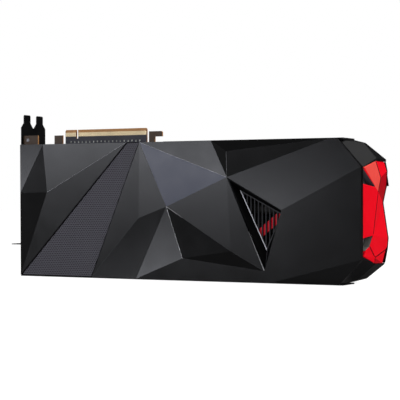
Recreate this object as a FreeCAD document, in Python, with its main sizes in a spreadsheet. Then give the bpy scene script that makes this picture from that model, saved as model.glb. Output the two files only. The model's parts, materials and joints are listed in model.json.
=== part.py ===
import FreeCAD, Part
import math
import os
import re
import Sketcher

# A three-slot graphics card standing on its long lower edge, gold contacts up.
# Card axes, in millimetres: X runs from the bracket's face towards the end cap,
# Y runs from the backplate's base plane into the card, towards the fans, and
# Z runs up from the lower edge of the shroud.  Every sub-part is drawn in these
# axes, and its Placement then moves it so that the origin lies under the middle
# of the whole card.

Vector = FreeCAD.Vector

SIZES = {
    # backplate
    "plate_start": 1.0,
    "plate_length": 334.8,
    "plate_bottom": 1.2,
    "plate_height": 119.5,
    "plate_relief": 7.15,
    "cut_reach": 20.0,
    "plate_wall": 1.6,
    "plate_seat": 1.8,
    "plate_rim": 5.0,
    "top_corner_run": 21.4,
    "top_corner_drop": 23.8,
    "low_corner_run": 18.5,
    "low_corner_rise": 20.2,
    "panel_depth": 0.6,
    "panel_gap": 0.4,
    "panel_sink": 0.12,
    # triangular vent in the backplate
    "vent_gap": 0.15,
    "vent_lip": 3.2,
    "vent_edge": 0.8,
    "vent_floor": 3.0,
    "grille_back": 4.6,
    "slat_pitch": 3.5,
    "slat_width": 1.0,
    "slat_back": 4.3,
    "accent_height": 9.0,
    "accent_depth": 1.4,
    # circuit board
    "board_start": 0.3,
    "board_length": 211.0,
    "board_bottom": 8.0,
    "board_drop": 2.2,
    "board_thickness": 1.6,
    "board_standoff": 3.8,
    "finger_start": 46.5,
    "finger_length": 85.2,
    "finger_rise": 15.0,
    "finger_bevel": 1.0,
    "key_offset": 12.6,
    "key_width": 1.9,
    "key_depth": 8.0,
    "contact_pitch": 1.0,
    "short_contact_count": 11.0,
    "long_contact_count": 71.0,
    "contact_width": 0.7,
    "contact_height": 5.6,
    "contact_margin": 0.825,
    "contact_thickness": 0.08,
    "contact_setback": 1.3,
    "corner_tab_length": 16.0,
    "corner_tab_rise": 10.8,
    "small_tab_start": 34.5,
    "small_tab_length": 8.9,
    "small_tab_rise": 10.3,
    "hook_gap": 2.2,
    "hook_stem": 5.9,
    "hook_nose": 7.5,
    "hook_rise": 11.9,
    "hook_under_rise": 7.2,
    "hook_bevel": 1.0,
    "capacitor_length": 1.6,
    "capacitor_width": 0.8,
    "capacitor_depth": 0.6,
    "capacitor_pitch": 4.0,
    "capacitor_setback": 6.0,
    "capacitor_rise": 3.1,
    "capacitor_count": 19.0,
    "edge_screw_start": 26.0,
    "edge_screw_end": 6.0,
    "edge_screw_inset": 5.0,
    # bracket
    "sheet": 0.86,
    "slot_width": 18.42,
    "slot_pitch": 20.32,
    "slot_from_board": 6.7,
    "tongue_width": 10.19,
    "bracket_height": 120.02,
    "bracket_drop": 89.8,
    "flange_depth": 11.43,
    "tongue_straight": 7.5,
    "tongue_taper": 4.4,
    "slot_valley": 12.2,
    "notch_radius": 2.21,
    "notch_setback": 6.35,
    "notch_offset": 1.91,
    "tongue_bevel": 1.0,
    "bracket_tab_length": 10.0,
    "bracket_tab_height": 8.4,
    "bracket_hole_setback": 5.1,
    "bracket_hole_rise": 6.7,
    "bracket_low_hole_rise": 7.8,
    "air_slot_start": 12.0,
    "air_slot_slant": 3.0,
    "air_slot_height": 3.2,
    "air_slot_pitch": 5.6,
    "air_slot_count": 14.0,
    # display ports
    "port_start": 22.3,
    "port_pitch": 19.6,
    "port_width": 17.4,
    "port_depth": 6.4,
    "port_length": 17.0,
    "port_proud": 0.9,
    "port_wall": 0.45,
    "port_recess": 11.0,
    "port_gap": 0.2,
    "port_key": 2.2,
    "insert_width": 11.0,
    "insert_depth": 1.4,
    "insert_length": 8.5,
    # processor and the pieces round it
    "chip_centre": 104.0,
    "chip_offset": 1.25,
    "package_side": 40.0,
    "package_thickness": 1.5,
    "die_length": 26.0,
    "die_height": 20.0,
    "die_thickness": 0.8,
    "memory_length": 12.0,
    "memory_height": 14.0,
    "memory_thickness": 1.1,
    "memory_step": 15.0,
    "memory_reach": 30.0,
    "choke_level": 14.0,
    "choke_count": 9.0,
    "choke_side": 7.0,
    "choke_pitch": 9.4,
    "choke_depth": 4.6,
    "choke_setback": 52.0,
    "stage_width": 5.0,
    "stage_depth": 1.0,
    "stage_setback": 42.5,
    "can_radius": 3.0,
    "can_depth": 5.0,
    "can_pitch": 10.0,
    "can_setback": 62.0,
    "can_level": 22.0,
    "can_count": 7.0,
    # cooler
    "cold_plate_side": 46.0,
    "cold_plate_thickness": 3.0,
    "memory_plate_margin": 15.0,
    "memory_plate_gap": 0.3,
    "pipe_width": 8.0,
    "pipe_thickness": 5.0,
    "pipe_pitch": 8.4,
    "pipe_spread": 16.5,
    "pipe_start": 22.0,
    "pipe_bend": 40.0,
    "pipe_slant": 34.0,
    "pipe_radius": 30.0,
    "pipe_end_setback": 2.0,
    "fin_start": 16.0,
    "fin_pitch": 3.0,
    "fin_sheet": 0.4,
    "fin_depth": 23.4,
    "fin_margin": 4.5,
    "fin_notch": 8.0,
    "fin_notch_depth": 3.0,
    "stack_setback": 2.0,
    "stack_gap": 9.0,
    "fin_end_gap": 4.0,
    # shroud
    "shroud_start": 0.3,
    "shroud_overlap": 0.3,
    "shroud_wall": 2.0,
    "shroud_edge": 4.0,
    "card_thickness": 57.0,
    "cap_length": 29.8,
    "window_length": 33.0,
    "window_slant": 9.0,
    "window_pitch": 46.5,
    "window_start": 20.0,
    "window_back": 19.0,
    "window_front": 38.0,
    "window_count": 6.0,
    "facet_sink": 0.8,
    "facet_inset": 3.2,
    "facet_spread": 22.0,
    "facet_reach": 38.0,
    "duct_bevel": 0.9,
    "board_slot_depth": 9.0,
    "board_slot_gap": 3.0,
    "end_window_front": 41.5,
    "lip_gap": 0.1,
    "lip_reach": 12.2,
    # fans
    "fan_setback": 8.45,
    "fan_end_gap": 1.75,
    "duct_web": 2.5,
    "duct_wall": 2.0,
    "duct_depth": 13.5,
    "frame_thickness": 2.3,
    "frame_ring": 1.2,
    "frame_land": 1.0,
    "frame_gap": 0.05,
    "arm_width": 4.5,
    "arm_count": 3.0,
    "frame_disc": 16.0,
    "hub_radius": 20.0,
    "hub_wall": 3.0,
    "hub_cap": 1.6,
    "hub_round": 1.5,
    "hub_gap": 0.8,
    "hub_sink": 1.5,
    "blade_root": 17.9,
    "blade_middle": 32.0,
    "tip_gap": 1.2,
    "root_chord": 15.0,
    "middle_chord": 20.0,
    "tip_chord": 23.0,
    "root_angle": 40.0,
    "middle_angle": 29.0,
    "tip_angle": 22.0,
    "blade_thickness": 1.3,
    "blade_camber": 1.5,
    "blade_sweep": 9.0,
    "blade_count": 11.0,
    "shaft_radius": 1.5,
    "shaft_bevel": 0.3,
    "shaft_cover": 0.8,
    "bearing_gap": 0.03,
    "bearing_wall": 1.5,
    "bearing_floor": 0.6,
    "tube_wall": 1.0,
    "tube_proud": 0.4,
    "shaft_boss_wall": 1.6,
    "shaft_boss_length": 1.0,
    "magnet_thickness": 1.4,
    "magnet_height": 7.0,
    "magnet_setback": 0.6,
    "stator_fit": 0.02,
    "stator_lift": 1.2,
    "stator_height": 6.0,
    "core_radius": 7.0,
    "pole_count": 9.0,
    "pole_gap": 0.7,
    "pole_width": 3.2,
    "pole_setback": 1.0,
    "pole_root": 0.5,
    "shoe_depth": 1.6,
    "shoe_bevel": 0.5,
    "shoe_crown": 0.2,
    # end cap and red cover
    "cap_wall": 2.5,
    "cap_step": 1.2,
    "cap_crease": 28.0,
    "cap_recess": 5.3,
    "end_panel_thickness": 1.0,
    "cover_relief": 8.1,
    "cover_gap": 0.2,
    "cap_lip": 0.7,
    "cap_tab_depth": 1.7,
    "cap_rim_depth": 1.9,
    "cap_tab_reach": 2.2,
    # power sockets
    "socket_setback": 49.3,
    "socket_pitch": 22.0,
    "socket_width": 18.6,
    "socket_depth": 9.6,
    "socket_length": 13.0,
    "socket_mouth": 1.6,
    "socket_wall": 0.9,
    "socket_recess": 8.7,
    "pin_pitch": 4.2,
    "pin_width": 1.0,
    "pin_length": 4.4,
    "latch_width": 4.0,
    "latch_setback": 2.0,
    "latch_proud": 0.6,
    "header_length": 7.0,
    "header_depth": 4.0,
    "header_drop": 14.0,
    "header_setback": 20.0,
    "header_start": 60.0,
    # fasteners
    "screw_radius": 1.5,
    "screw_gap": 0.06,
    "boss_radius": 3.0,
    "screw_head": 2.6,
    "screw_head_depth": 1.6,
    "screw_engage": 3.0,
    "screw_tip_gap": 0.3,
    "recess_length": 2.6,
    "recess_width": 0.7,
    "cooler_screw_reach": 29.5,
}

# Formulas on the sizes above, by name.
DERIVED = {
    "plate_end": "plate_start + plate_length",
    "plate_top": "plate_bottom + plate_height",
    "board_back": "plate_seat + board_standoff",
    "board_front": "board_back + board_thickness",
    "board_end": "board_start + board_length",
    "board_top": "plate_top - board_drop",
    "chip_level": "(board_bottom + board_top)/2 - chip_offset",
    "finger_end": "finger_start + finger_length",
    "finger_top": "board_top + finger_rise",
    "hook_end": "finger_end + hook_gap + hook_stem + hook_nose",
    "hook_top": "board_top + hook_rise",
    "hook_under": "board_top + hook_under_rise",
    "package_front": "board_front + package_thickness",
    "die_front": "package_front + die_thickness",
    "cold_front": "die_front + cold_plate_thickness",
    "pipe_front": "cold_front + pipe_thickness",
    "fin_front": "pipe_front + fin_depth",
    "duct_back": "card_thickness - duct_depth",
    "frame_back": "duct_back - frame_thickness",
    "flange_level": "board_top - bracket_drop",
    "port_first": "flange_level + port_start",
    "slot_one": "board_back + slot_from_board",
    "slot_two": "slot_one + slot_pitch",
    "bracket_side": "slot_one - slot_width/2",
    "bracket_far": "slot_two + slot_width/2",
    "tongue_top": "flange_level + bracket_height",
    "shroud_top": "plate_top + shroud_overlap",
    "shroud_end": "plate_end - cap_length",
    "shroud_middle": "shroud_top/2",
    "hub_front": "card_thickness - hub_sink",
    "hub_back": "duct_back + hub_gap",
    "cup_floor": "hub_front - hub_cap",
    "bearing_inner": "shaft_radius + bearing_gap",
    "bearing_outer": "shaft_radius + bearing_gap + bearing_wall",
    "tube_outer": "bearing_outer + tube_wall",
    "tube_front": "stator_back + stator_height + tube_proud",
    "stator_back": "duct_back + stator_lift",
    "shaft_front": "hub_front - shaft_cover",
    "bearing_back": "frame_back + bearing_floor",
    "magnet_back": "hub_back + magnet_setback",
    "core_inner": "tube_outer + stator_fit",
    "magnet_outer": "hub_radius - hub_wall",
    "magnet_inner": "magnet_outer - magnet_thickness",
    "pole_radius": "magnet_inner - pole_gap",
    "fan_pitch": "(shroud_end - shroud_start - fan_setback - fan_end_gap)/3",
    "fan_first": "shroud_start + fan_setback + fan_pitch/2",
    "duct_radius": "fan_pitch/2 - duct_web/2",
    "panel_face": "plate_end - cap_recess",
    "cover_seat": "panel_face + end_panel_thickness",
    "socket_first": "board_end - socket_setback",
    "stack_end": "board_end - stack_setback",
    "shift_x": "(flange_depth - cover_seat - cover_relief)/2",
    "shift_y": "(plate_relief - card_thickness)/2",
}

doc = FreeCAD.newDocument("GraphicsCard")
sheet = doc.addObject("Spreadsheet::Sheet", "Sizes")
for row, (alias, size) in enumerate(SIZES.items(), start=1):
    sheet.set(f"A{row}", alias)
    sheet.set(f"B{row}", str(size))
    sheet.setAlias(f"B{row}", alias)
doc.recompute()


# ---------------------------------------------------------------- helpers

def formula(text):
    """Turn a formula on named sizes into an expression on the sheet's cells."""
    def named(match):
        word = match.group(0)
        if word in SIZES:
            return "Sizes." + word
        if word in DERIVED:
            return "(" + formula(DERIVED[word]) + ")"
        return word
    return re.sub(r"[a-z_][a-z_0-9]*", named, str(text))


def amount(text):
    """The value in millimetres or degrees of a formula on named sizes."""
    return float(doc.getObject("Sizes").evalExpression(formula(text)))


def place(piece, across="0", up="0"):
    """Bind a sub-part's Placement to the card's origin, plus an offset in X and Z."""
    piece.setExpression("Placement.Base.x", formula(f"shift_x + {across}"))
    piece.setExpression("Placement.Base.y", formula("shift_y"))
    piece.setExpression("Placement.Base.z", formula(up))


def new_body(label, across="0", up="0"):
    """An empty body whose own axes are the card's, moved by across and up."""
    body = doc.addObject("PartDesign::Body", label)
    body.Label = label
    place(body, across, up)
    return body


def origin_part(body, role):
    return next(part for part in body.Origin.OriginFeatures if part.Role == role)


def bind_point(sketch, piece, end, across, up):
    """Fix one point of a sketch line or circle at a pair of formulas."""
    first = sketch.addConstraint(Sketcher.Constraint("DistanceX", piece, end, amount(across)))
    sketch.setExpression(f"Constraints[{first}]", formula(across))
    second = sketch.addConstraint(Sketcher.Constraint("DistanceY", piece, end, amount(up)))
    sketch.setExpression(f"Constraints[{second}]", formula(up))


def draw_loop(sketch, points):
    """A closed outline of straight lines through points given as formulas."""
    start = sketch.GeometryCount
    spots = [Vector(amount(across), amount(up), 0) for across, up in points]
    for spot, following in zip(spots, spots[1:] + spots[:1]):
        sketch.addGeometry(Part.LineSegment(spot, following))
    count = len(points)
    for index, (across, up) in enumerate(points):
        following = start + (index + 1) % count
        sketch.addConstraint(Sketcher.Constraint("Coincident", start + index, 2, following, 1))
        bind_point(sketch, start + index, 1, across, up)


def draw_circle(sketch, across, up, radius):
    centre = Vector(amount(across), amount(up), 0)
    circle = sketch.addGeometry(Part.Circle(centre, Vector(0, 0, 1), amount(radius)))
    bind_point(sketch, circle, 3, across, up)
    bound = sketch.addConstraint(Sketcher.Constraint("Radius", circle, amount(radius)))
    sketch.setExpression(f"Constraints[{bound}]", formula(radius))


def draw(body, name, role, level, loops, circles):
    """A sketch on an origin plane of the body, at a level along that plane's axis."""
    sketch = body.newObject("Sketcher::SketchObject", name + "_outline")
    sketch.AttachmentSupport = [(origin_part(body, role), "")]
    sketch.MapMode = "FlatFace"
    side = "-1" if role == "XZ_Plane" else "1"
    sketch.setExpression("AttachmentOffset.Base.z", formula(f"{side}*({level})"))
    for points in loops:
        draw_loop(sketch, points)
    for circle in circles:
        draw_circle(sketch, *circle)
    return sketch


def pad(body, name, role, level, depth, loops=(), circles=()):
    """Raise outlines from level by depth, towards the positive side of the axis."""
    feature = body.newObject("PartDesign::Pad", name)
    feature.Profile = draw(body, name, role, level, loops, circles)
    feature.setExpression("Length", formula(depth))
    feature.Reversed = role == "XZ_Plane"
    body.Tip = feature
    return feature


def pocket(body, name, role, level, depth, loops=(), circles=()):
    """Cut outlines from level by depth, towards the positive side of the axis."""
    doc.recompute()
    before = body.Shape.Volume
    feature = body.newObject("PartDesign::Pocket", name)
    feature.Profile = draw(body, name, role, level, loops, circles)
    feature.setExpression("Length", formula(depth))
    feature.Reversed = role != "XZ_Plane"
    body.Tip = feature
    doc.recompute()
    if body.Shape.Volume >= before:
        raise RuntimeError(f"{body.Label}: {name} cuts nothing")
    return feature


def repeat(body, feature, axis, pitch, count):
    """Copy a feature count times along an origin axis at a pitch."""
    doc.recompute()
    pattern = body.newObject("PartDesign::LinearPattern", feature.Name + "_row")
    pattern.Originals = [feature]
    pattern.Direction = (origin_part(body, axis), [""])
    pattern.Mode = "Spacing"
    pattern.setExpression("Offset", formula(pitch))
    pattern.setExpression("Occurrences", formula(count))
    body.Tip = pattern
    return pattern


def repeat_round(body, feature, count):
    """Copy a feature count times round the body's own Y axis."""
    doc.recompute()
    pattern = body.newObject("PartDesign::PolarPattern", feature.Name + "_ring")
    pattern.Originals = [feature]
    pattern.Axis = (origin_part(body, "Y_Axis"), [""])
    pattern.Angle = 360
    pattern.setExpression("Occurrences", formula(count))
    body.Tip = pattern
    return pattern


def revolve(body, name, points):
    """Turn an outline of (radius, depth) points round the body's own Y axis."""
    feature = body.newObject("PartDesign::Revolution", name)
    feature.Profile = draw(body, name, "XY_Plane", "0", [points], [])
    feature.ReferenceAxis = (origin_part(body, "Y_Axis"), [""])
    feature.Angle = 360
    body.Tip = feature
    return feature


def loft(body, name, sections):
    """A ruled solid through a row of section sketches."""
    feature = body.newObject("PartDesign::AdditiveLoft", name)
    feature.Profile = sections[0]
    feature.Sections = sections[1:]
    feature.Ruled = True
    body.Tip = feature
    return feature


def rectangle(left, right, low, high):
    return [(left, low), (right, low), (right, high), (left, high)]


def centred(across, up, width, height):
    """A rectangle about a centre, as formulas."""
    return rectangle(f"{across} - ({width})/2", f"{across} + ({width})/2",
                     f"{up} - ({height})/2", f"{up} + ({height})/2")


def shaped(label, shape):
    """A sub-part whose shape is worked out with Part's own functions."""
    piece = doc.addObject("Part::Feature", label)
    piece.Label = label
    piece.Shape = shape
    place(piece)
    return piece


def closed_solid(faces):
    solid = Part.Solid(Part.Shell(faces))
    if solid.Volume < 0:
        solid.reverse()
    return solid


def flat_face(points):
    return Part.Face(Part.makePolygon(list(points) + [points[0]]))


def faceted_block(corners, facets, rim, onto):
    """A block with a net of flat facets in front and a flat back.

    corners gives each named corner of the net, facets the triangles between
    them, rim the corners round the edge, and onto(point) drops a corner square
    on to the flat back.
    """
    faces = [flat_face([corners[name] for name in facet]) for facet in facets]
    for name, following in zip(rim, rim[1:] + rim[:1]):
        start, end = corners[name], corners[following]
        faces.append(flat_face([start, end, onto(end), onto(start)]))
    faces.append(flat_face([onto(corners[name]) for name in rim]))
    return closed_solid(faces)


def moved(shape, along=0.0, deep=0.0, high=0.0):
    copy = shape.copy()
    copy.translate(Vector(along, deep, high))
    return copy


def prism(points, low, high):
    """A block on an outline in X and Z, from depth low to depth high."""
    face = flat_face([Vector(along, low, up) for along, up in points])
    return face.extrude(Vector(0, high - low, 0))


def inset(points, gap):
    """The outline of X and Z points drawn in by a gap all round."""
    face = flat_face([Vector(along, 0, up) for along, up in points])
    wire = face.makeOffset2D(-gap, join=2).OuterWire
    return [(vertex.X, vertex.Z) for vertex in wire.OrderedVertexes]


# -------------------------------------------------------------- backplate

# Corners of the backplate's facets: distance along and up the plate, as a share
# of its length and height or as a formula, and the share of its full relief.
PLATE_CORNERS = {
    "top_start": (0.005, 1.0, 0.476),
    "top_first": (0.078, 1.0, 0.358),
    "start_break": (0.0115, 0.629, 0.85),
    "fan_root": (0.090, 0.634, 0.218),
    "low_start": (0.0, 0.0, -0.011),
    "strip_top_left": (0.338, 1.0, 0.049),
    "strip_top_right": (0.3785, 1.0, 0.091),
    "strip_low_right": (0.233, 0.0, 0.234),
    "wedge_low": (0.374, 0.443, -0.049),
    "wedge_tip": (0.461, 0.527, 0.225),
    "keel_tip": (0.507, 0.156, 0.993),
    "keel_low": (0.380, 0.0, 1),
    "vent_top": (0.639, 0.737, 0.484),
    "crest_top": (0.591, 1.0, 0.271),
    "crest_tip": (0.640, 0.9205, 0.737),
    "roof_end": (0.920, 1.0, 0.166),
    "belly": (0.6493, 0.210, 0.341),
    "vent_low": (0.7476, 0.077, 0.832),
    "vent_right": (0.793, 0.505, 0.766),
    "end_top": ("plate_length", "plate_height - top_corner_drop", 0.408),
    "end_low": ("plate_length", "low_corner_rise", 0.385),
    "top_end": ("plate_length - top_corner_run", "plate_height", 0.166),
    "low_end": ("plate_length - low_corner_run", "0", 0.28),
    "keel_end": (0.766, 0.0, 0.792),
}

PLATE_RIM = ["low_start", "start_break", "top_start", "top_first", "strip_top_left",
             "strip_top_right", "crest_top", "roof_end", "top_end", "end_top", "end_low",
             "low_end", "keel_end", "keel_low", "strip_low_right"]

PLATE_FACETS = [
    ("top_start", "top_first", "start_break"),
    ("top_first", "fan_root", "start_break"),
    ("start_break", "fan_root", "low_start"),
    ("top_first", "strip_top_left", "fan_root"),
    ("fan_root", "strip_top_left", "low_start"),
    ("strip_top_left", "strip_top_right", "low_start"),
    ("strip_top_right", "strip_low_right", "low_start"),
    ("strip_top_right", "wedge_low", "strip_low_right"),
    ("strip_top_right", "wedge_tip", "wedge_low"),
    ("strip_top_right", "vent_top", "wedge_tip"),
    ("strip_top_right", "crest_top", "vent_top"),
    ("crest_top", "crest_tip", "vent_top"),
    ("crest_top", "roof_end", "crest_tip"),
    ("crest_tip", "roof_end", "vent_top"),
    ("vent_top", "roof_end", "vent_right"),
    ("roof_end", "end_top", "vent_right"),
    ("roof_end", "top_end", "end_top"),
    ("vent_right", "end_top", "vent_low"),
    ("end_top", "end_low", "vent_low"),
    ("vent_low", "end_low", "keel_end"),
    ("end_low", "low_end", "keel_end"),
    ("wedge_tip", "vent_top", "belly"),
    ("vent_top", "vent_low", "belly"),
    ("vent_top", "vent_right", "vent_low"),
    ("wedge_tip", "belly", "keel_tip"),
    ("belly", "vent_low", "keel_tip"),
    ("keel_tip", "vent_low", "keel_low"),
    ("vent_low", "keel_end", "keel_low"),
    ("wedge_low", "wedge_tip", "keel_low"),
    ("strip_low_right", "wedge_low", "keel_low"),
    ("wedge_tip", "keel_tip", "keel_low"),
]

STRIP_CORNERS = ["strip_top_left", "strip_top_right", "strip_low_right", "low_start"]
VENT_CORNERS = ["vent_top", "vent_right", "vent_low"]

# Corners of the opening at the foot of the vent, as shares of the plate.
VENT_FLOOR = [(0.6664, 0.648), (0.784, 0.480), (0.7425, 0.215)]

# Centres of the screws that hold the board to the backplate's bosses.
BOARD_SCREWS = [
    ("chip_centre - cooler_screw_reach", "chip_level - cooler_screw_reach"),
    ("chip_centre + cooler_screw_reach", "chip_level - cooler_screw_reach"),
    ("chip_centre - cooler_screw_reach", "chip_level + cooler_screw_reach"),
    ("chip_centre + cooler_screw_reach", "chip_level + cooler_screw_reach"),
]
EDGE_SCREWS = [
    ("board_start + edge_screw_start", "board_bottom + edge_screw_inset"),
    ("board_end - edge_screw_end", "board_bottom + edge_screw_inset"),
    ("board_start + edge_screw_start", "board_top - edge_screw_inset"),
    ("board_end - edge_screw_end", "board_top - edge_screw_inset"),
]


def share(number, size):
    """A share of a size, or a formula as it stands."""
    return amount(number) if isinstance(number, str) else number * amount(size)


def plate_corner(name):
    along, up, rise = PLATE_CORNERS[name]
    return Vector(amount("plate_start") + share(along, "plate_length"),
                  -rise * amount("plate_relief"),
                  amount("plate_bottom") + share(up, "plate_height"))


def plate_block(back):
    """The faceted block of the backplate, down to a flat back at a depth."""
    corners = {name: plate_corner(name) for name in PLATE_CORNERS}
    return faceted_block(corners, PLATE_FACETS, PLATE_RIM,
                         lambda point: Vector(point.x, back, point.z))


def plate_outline(names):
    return [(plate_corner(name).x, plate_corner(name).z) for name in names]


def vent_floor():
    return [(amount("plate_start") + along * amount("plate_length"),
             amount("plate_bottom") + up * amount("plate_height")) for along, up in VENT_FLOOR]


def drill(across, up, radius, low, high):
    """A round rod along Y between two depths, all given as formulas."""
    foot = Vector(amount(across), amount(low), amount(up))
    return Part.makeCylinder(amount(radius), amount(high) - amount(low), foot, Vector(0, 1, 0))


def make_backplate():
    """Faceted cast plate: even wall, flat rim, bosses for the board, vent opening."""
    reach = amount("cut_reach")
    seat = amount("plate_seat")
    wall = amount("plate_wall")
    block = plate_block(seat)
    hollow = prism(inset(plate_outline(PLATE_RIM), amount("plate_rim")), -reach, seat)
    hollow = hollow.cut(prism(inset(plate_outline(VENT_CORNERS), -amount("plate_rim")),
                              -reach, reach))
    plate = block.cut(hollow.common(moved(plate_block(seat), deep=wall)))
    plate = plate.cut(prism(plate_outline(VENT_CORNERS), -reach, reach))
    strip = prism(plate_outline(STRIP_CORNERS), -reach, reach)
    plate = plate.cut(strip.cut(moved(block, deep=amount("panel_depth"))
                                .fuse(prism(plate_outline(STRIP_CORNERS), seat, reach))))
    under = moved(plate_block(amount("board_back")), deep=wall / 2)
    limit = prism(plate_outline(PLATE_RIM), -reach, amount("board_back"))
    for across, up in BOARD_SCREWS + EDGE_SCREWS:
        boss = drill(across, up, "boss_radius", f"-{reach}", "board_back")
        plate = plate.fuse(boss.common(under).common(limit))
    for across, up in BOARD_SCREWS + EDGE_SCREWS:
        plate = plate.cut(drill(across, up, "screw_radius + screw_gap",
                                "board_back - screw_engage", "board_back"))
    return shaped("backplate", plate.Solids[0])


def make_mesh_panel():
    """Thin perforated strip let into the backplate between its two straight edges."""
    reach = amount("cut_reach")
    seat = amount("plate_seat")
    outline = inset(plate_outline(STRIP_CORNERS), amount("panel_gap"))
    strip = prism(outline, -reach, seat)
    upper = moved(plate_block(seat), deep=amount("panel_sink"))
    lower = moved(plate_block(seat), deep=amount("panel_depth"))
    return shaped("mesh_panel", strip.common(upper).cut(lower).Solids[0])


def make_vent_grille():
    """Funnel that narrows from the vent's edges to a slatted triangle."""
    outline = inset(plate_outline(VENT_CORNERS), amount("vent_gap"))
    top = -amount("vent_lip")
    floor = amount("vent_floor")
    back = amount("grille_back")
    block = prism(outline, top, back)
    mouth = inset(outline, amount("vent_edge"))
    wires = []
    for level, points in ((top, mouth), (floor, ordered_like(vent_floor(), mouth))):
        spots = [Vector(along, level, up) for along, up in points]
        wires.append(Part.makePolygon(spots + spots[:1]))
    funnel = Part.makeLoft(wires, True, True)
    grille = block.cut(funnel).cut(prism(vent_floor(), floor, back))
    opening = prism(inset(vent_floor(), -amount("slat_width") / 2), floor, amount("slat_back"))
    left = min(along for along, up in vent_floor())
    right = max(along for along, up in vent_floor())
    along = left + amount("slat_pitch")
    while along < right - amount("slat_pitch") / 2:
        slat = Part.makeBox(amount("slat_width"), back - floor, amount("plate_height"),
                            Vector(along - amount("slat_width") / 2, floor, 0))
        grille = grille.fuse(slat.common(opening))
        along += amount("slat_pitch")
    return shaped("vent_grille", grille.Solids[0])


def ordered_like(points, guide):
    """The same points, each in the place of the guide's point nearest to it."""
    return [min(points, key=lambda point: math.dist(point, target)) for target in guide]


def make_vent_accent_bar():
    """Slanted bar behind the slats, from the long side of the vent to its right corner."""
    start, end, low = vent_floor()
    halfway, fifth = 0.5, 0.2
    left = (low[0] + halfway * (start[0] - low[0]), low[1] + fifth * (start[1] - low[1]))
    slope = (end[1] - left[1]) / (end[0] - left[0])
    half = amount("accent_height") / 2
    reach = amount("slat_pitch") * 3
    points = [(left[0] - reach, left[1] - reach * slope - half),
              (end[0] + reach, end[1] + reach * slope - half),
              (end[0] + reach, end[1] + reach * slope + half),
              (left[0] - reach, left[1] - reach * slope + half)]
    back = amount("grille_back")
    bar = prism(points, back, back + amount("accent_depth"))
    limit = prism(inset(plate_outline(VENT_CORNERS), amount("vent_gap") + amount("vent_edge")),
                  back, back + amount("accent_depth"))
    return shaped("vent_accent_bar", bar.common(limit).Solids[0])


# ------------------------------------------------------------ circuit board

def make_circuit_board():
    """Board with its slot edge, the tabs beside it and the latch hook."""
    body = new_body("circuit_board")
    outline = [
        ("board_start", "board_bottom"),
        ("board_end", "board_bottom"),
        ("board_end", "board_top"),
        ("finger_end + hook_gap + hook_stem", "board_top"),
        ("finger_end + hook_gap + hook_stem", "hook_under"),
        ("hook_end", "hook_under"),
        ("hook_end", "hook_top - hook_bevel"),
        ("hook_end - hook_bevel", "hook_top"),
        ("finger_end + hook_gap", "hook_top"),
        ("finger_end + hook_gap", "board_top"),
        ("finger_end", "board_top"),
        ("finger_end", "finger_top - finger_bevel"),
        ("finger_end - finger_bevel", "finger_top"),
        ("finger_start + key_offset + key_width/2", "finger_top"),
        ("finger_start + key_offset + key_width/2", "finger_top - key_depth"),
        ("finger_start + key_offset - key_width/2", "finger_top - key_depth"),
        ("finger_start + key_offset - key_width/2", "finger_top"),
        ("finger_start + finger_bevel", "finger_top"),
        ("finger_start", "finger_top - finger_bevel"),
        ("finger_start", "board_top"),
        ("small_tab_start + small_tab_length", "board_top"),
        ("small_tab_start + small_tab_length", "board_top + small_tab_rise"),
        ("small_tab_start", "board_top + small_tab_rise"),
        ("small_tab_start", "board_top"),
        ("board_start + corner_tab_length", "board_top"),
        ("board_start + corner_tab_length", "board_top + corner_tab_rise"),
        ("board_start", "board_top + corner_tab_rise"),
    ]
    pad(body, "board", "XZ_Plane", "board_back", "board_thickness", [outline])
    holes = []
    for across, up in BOARD_SCREWS + EDGE_SCREWS + BRACKET_SCREWS:
        holes.append((across, up, "screw_radius + screw_gap"))
    pocket(body, "screw_holes", "XZ_Plane", "board_back", "board_thickness", circles=holes)
    return body


BRACKET_SCREWS = [
    ("bracket_hole_setback", "board_top + bracket_hole_rise"),
    ("bracket_hole_setback", "flange_level + bracket_low_hole_rise"),
]


def make_edge_contacts():
    """Gilt contacts on both faces of the slot edge, on either side of the key."""
    body = new_body("edge_contacts")
    low = "finger_top - contact_setback - contact_height"
    high = "finger_top - contact_setback"
    short = "finger_start + contact_margin"
    long = "finger_start + key_offset + key_width/2 + contact_margin"
    for side, level in (("back", "board_back - contact_thickness"), ("front", "board_front")):
        for run, start in (("short", short), ("long", long)):
            outline = rectangle(f"{start} - contact_width/2", f"{start} + contact_width/2",
                                low, high)
            contact = pad(body, f"{side}_{run}", "XZ_Plane", level, "contact_thickness",
                          [outline])
            repeat(body, contact, "X_Axis", "contact_pitch", f"{run}_contact_count")
    return body


def make_surface_capacitors():
    """Row of small capacitors on the back of the slot edge, above the backplate."""
    body = new_body("surface_capacitors")
    left = "finger_start + capacitor_setback"
    low = "board_top + capacitor_rise"
    outline = rectangle(left, f"{left} + capacitor_width", low, f"{low} + capacitor_length")
    first = pad(body, "capacitor", "XZ_Plane", "board_back - capacitor_depth",
                "capacitor_depth", [outline])
    repeat(body, first, "X_Axis", "capacitor_pitch", "capacitor_count")
    return body


def make_processor():
    """Chip package on the board, with its die on top."""
    package = new_body("gpu_package")
    pad(package, "substrate", "XZ_Plane", "board_front", "package_thickness",
        [centred("chip_centre", "chip_level", "package_side", "package_side")])
    die = new_body("gpu_die")
    pad(die, "silicon", "XZ_Plane", "package_front", "die_thickness",
        [centred("chip_centre", "chip_level", "die_length", "die_height")])


MEMORY_SPOTS = [
    ("chip_centre - memory_step", "chip_level + memory_reach"),
    ("chip_centre", "chip_level + memory_reach"),
    ("chip_centre + memory_step", "chip_level + memory_reach"),
    ("chip_centre + memory_reach", "chip_level + memory_step/2"),
    ("chip_centre + memory_reach", "chip_level - memory_step/2"),
    ("chip_centre - memory_reach", "chip_level + memory_step/2"),
    ("chip_centre - memory_reach", "chip_level - memory_step/2"),
    ("chip_centre", "chip_level - memory_reach"),
]


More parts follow.
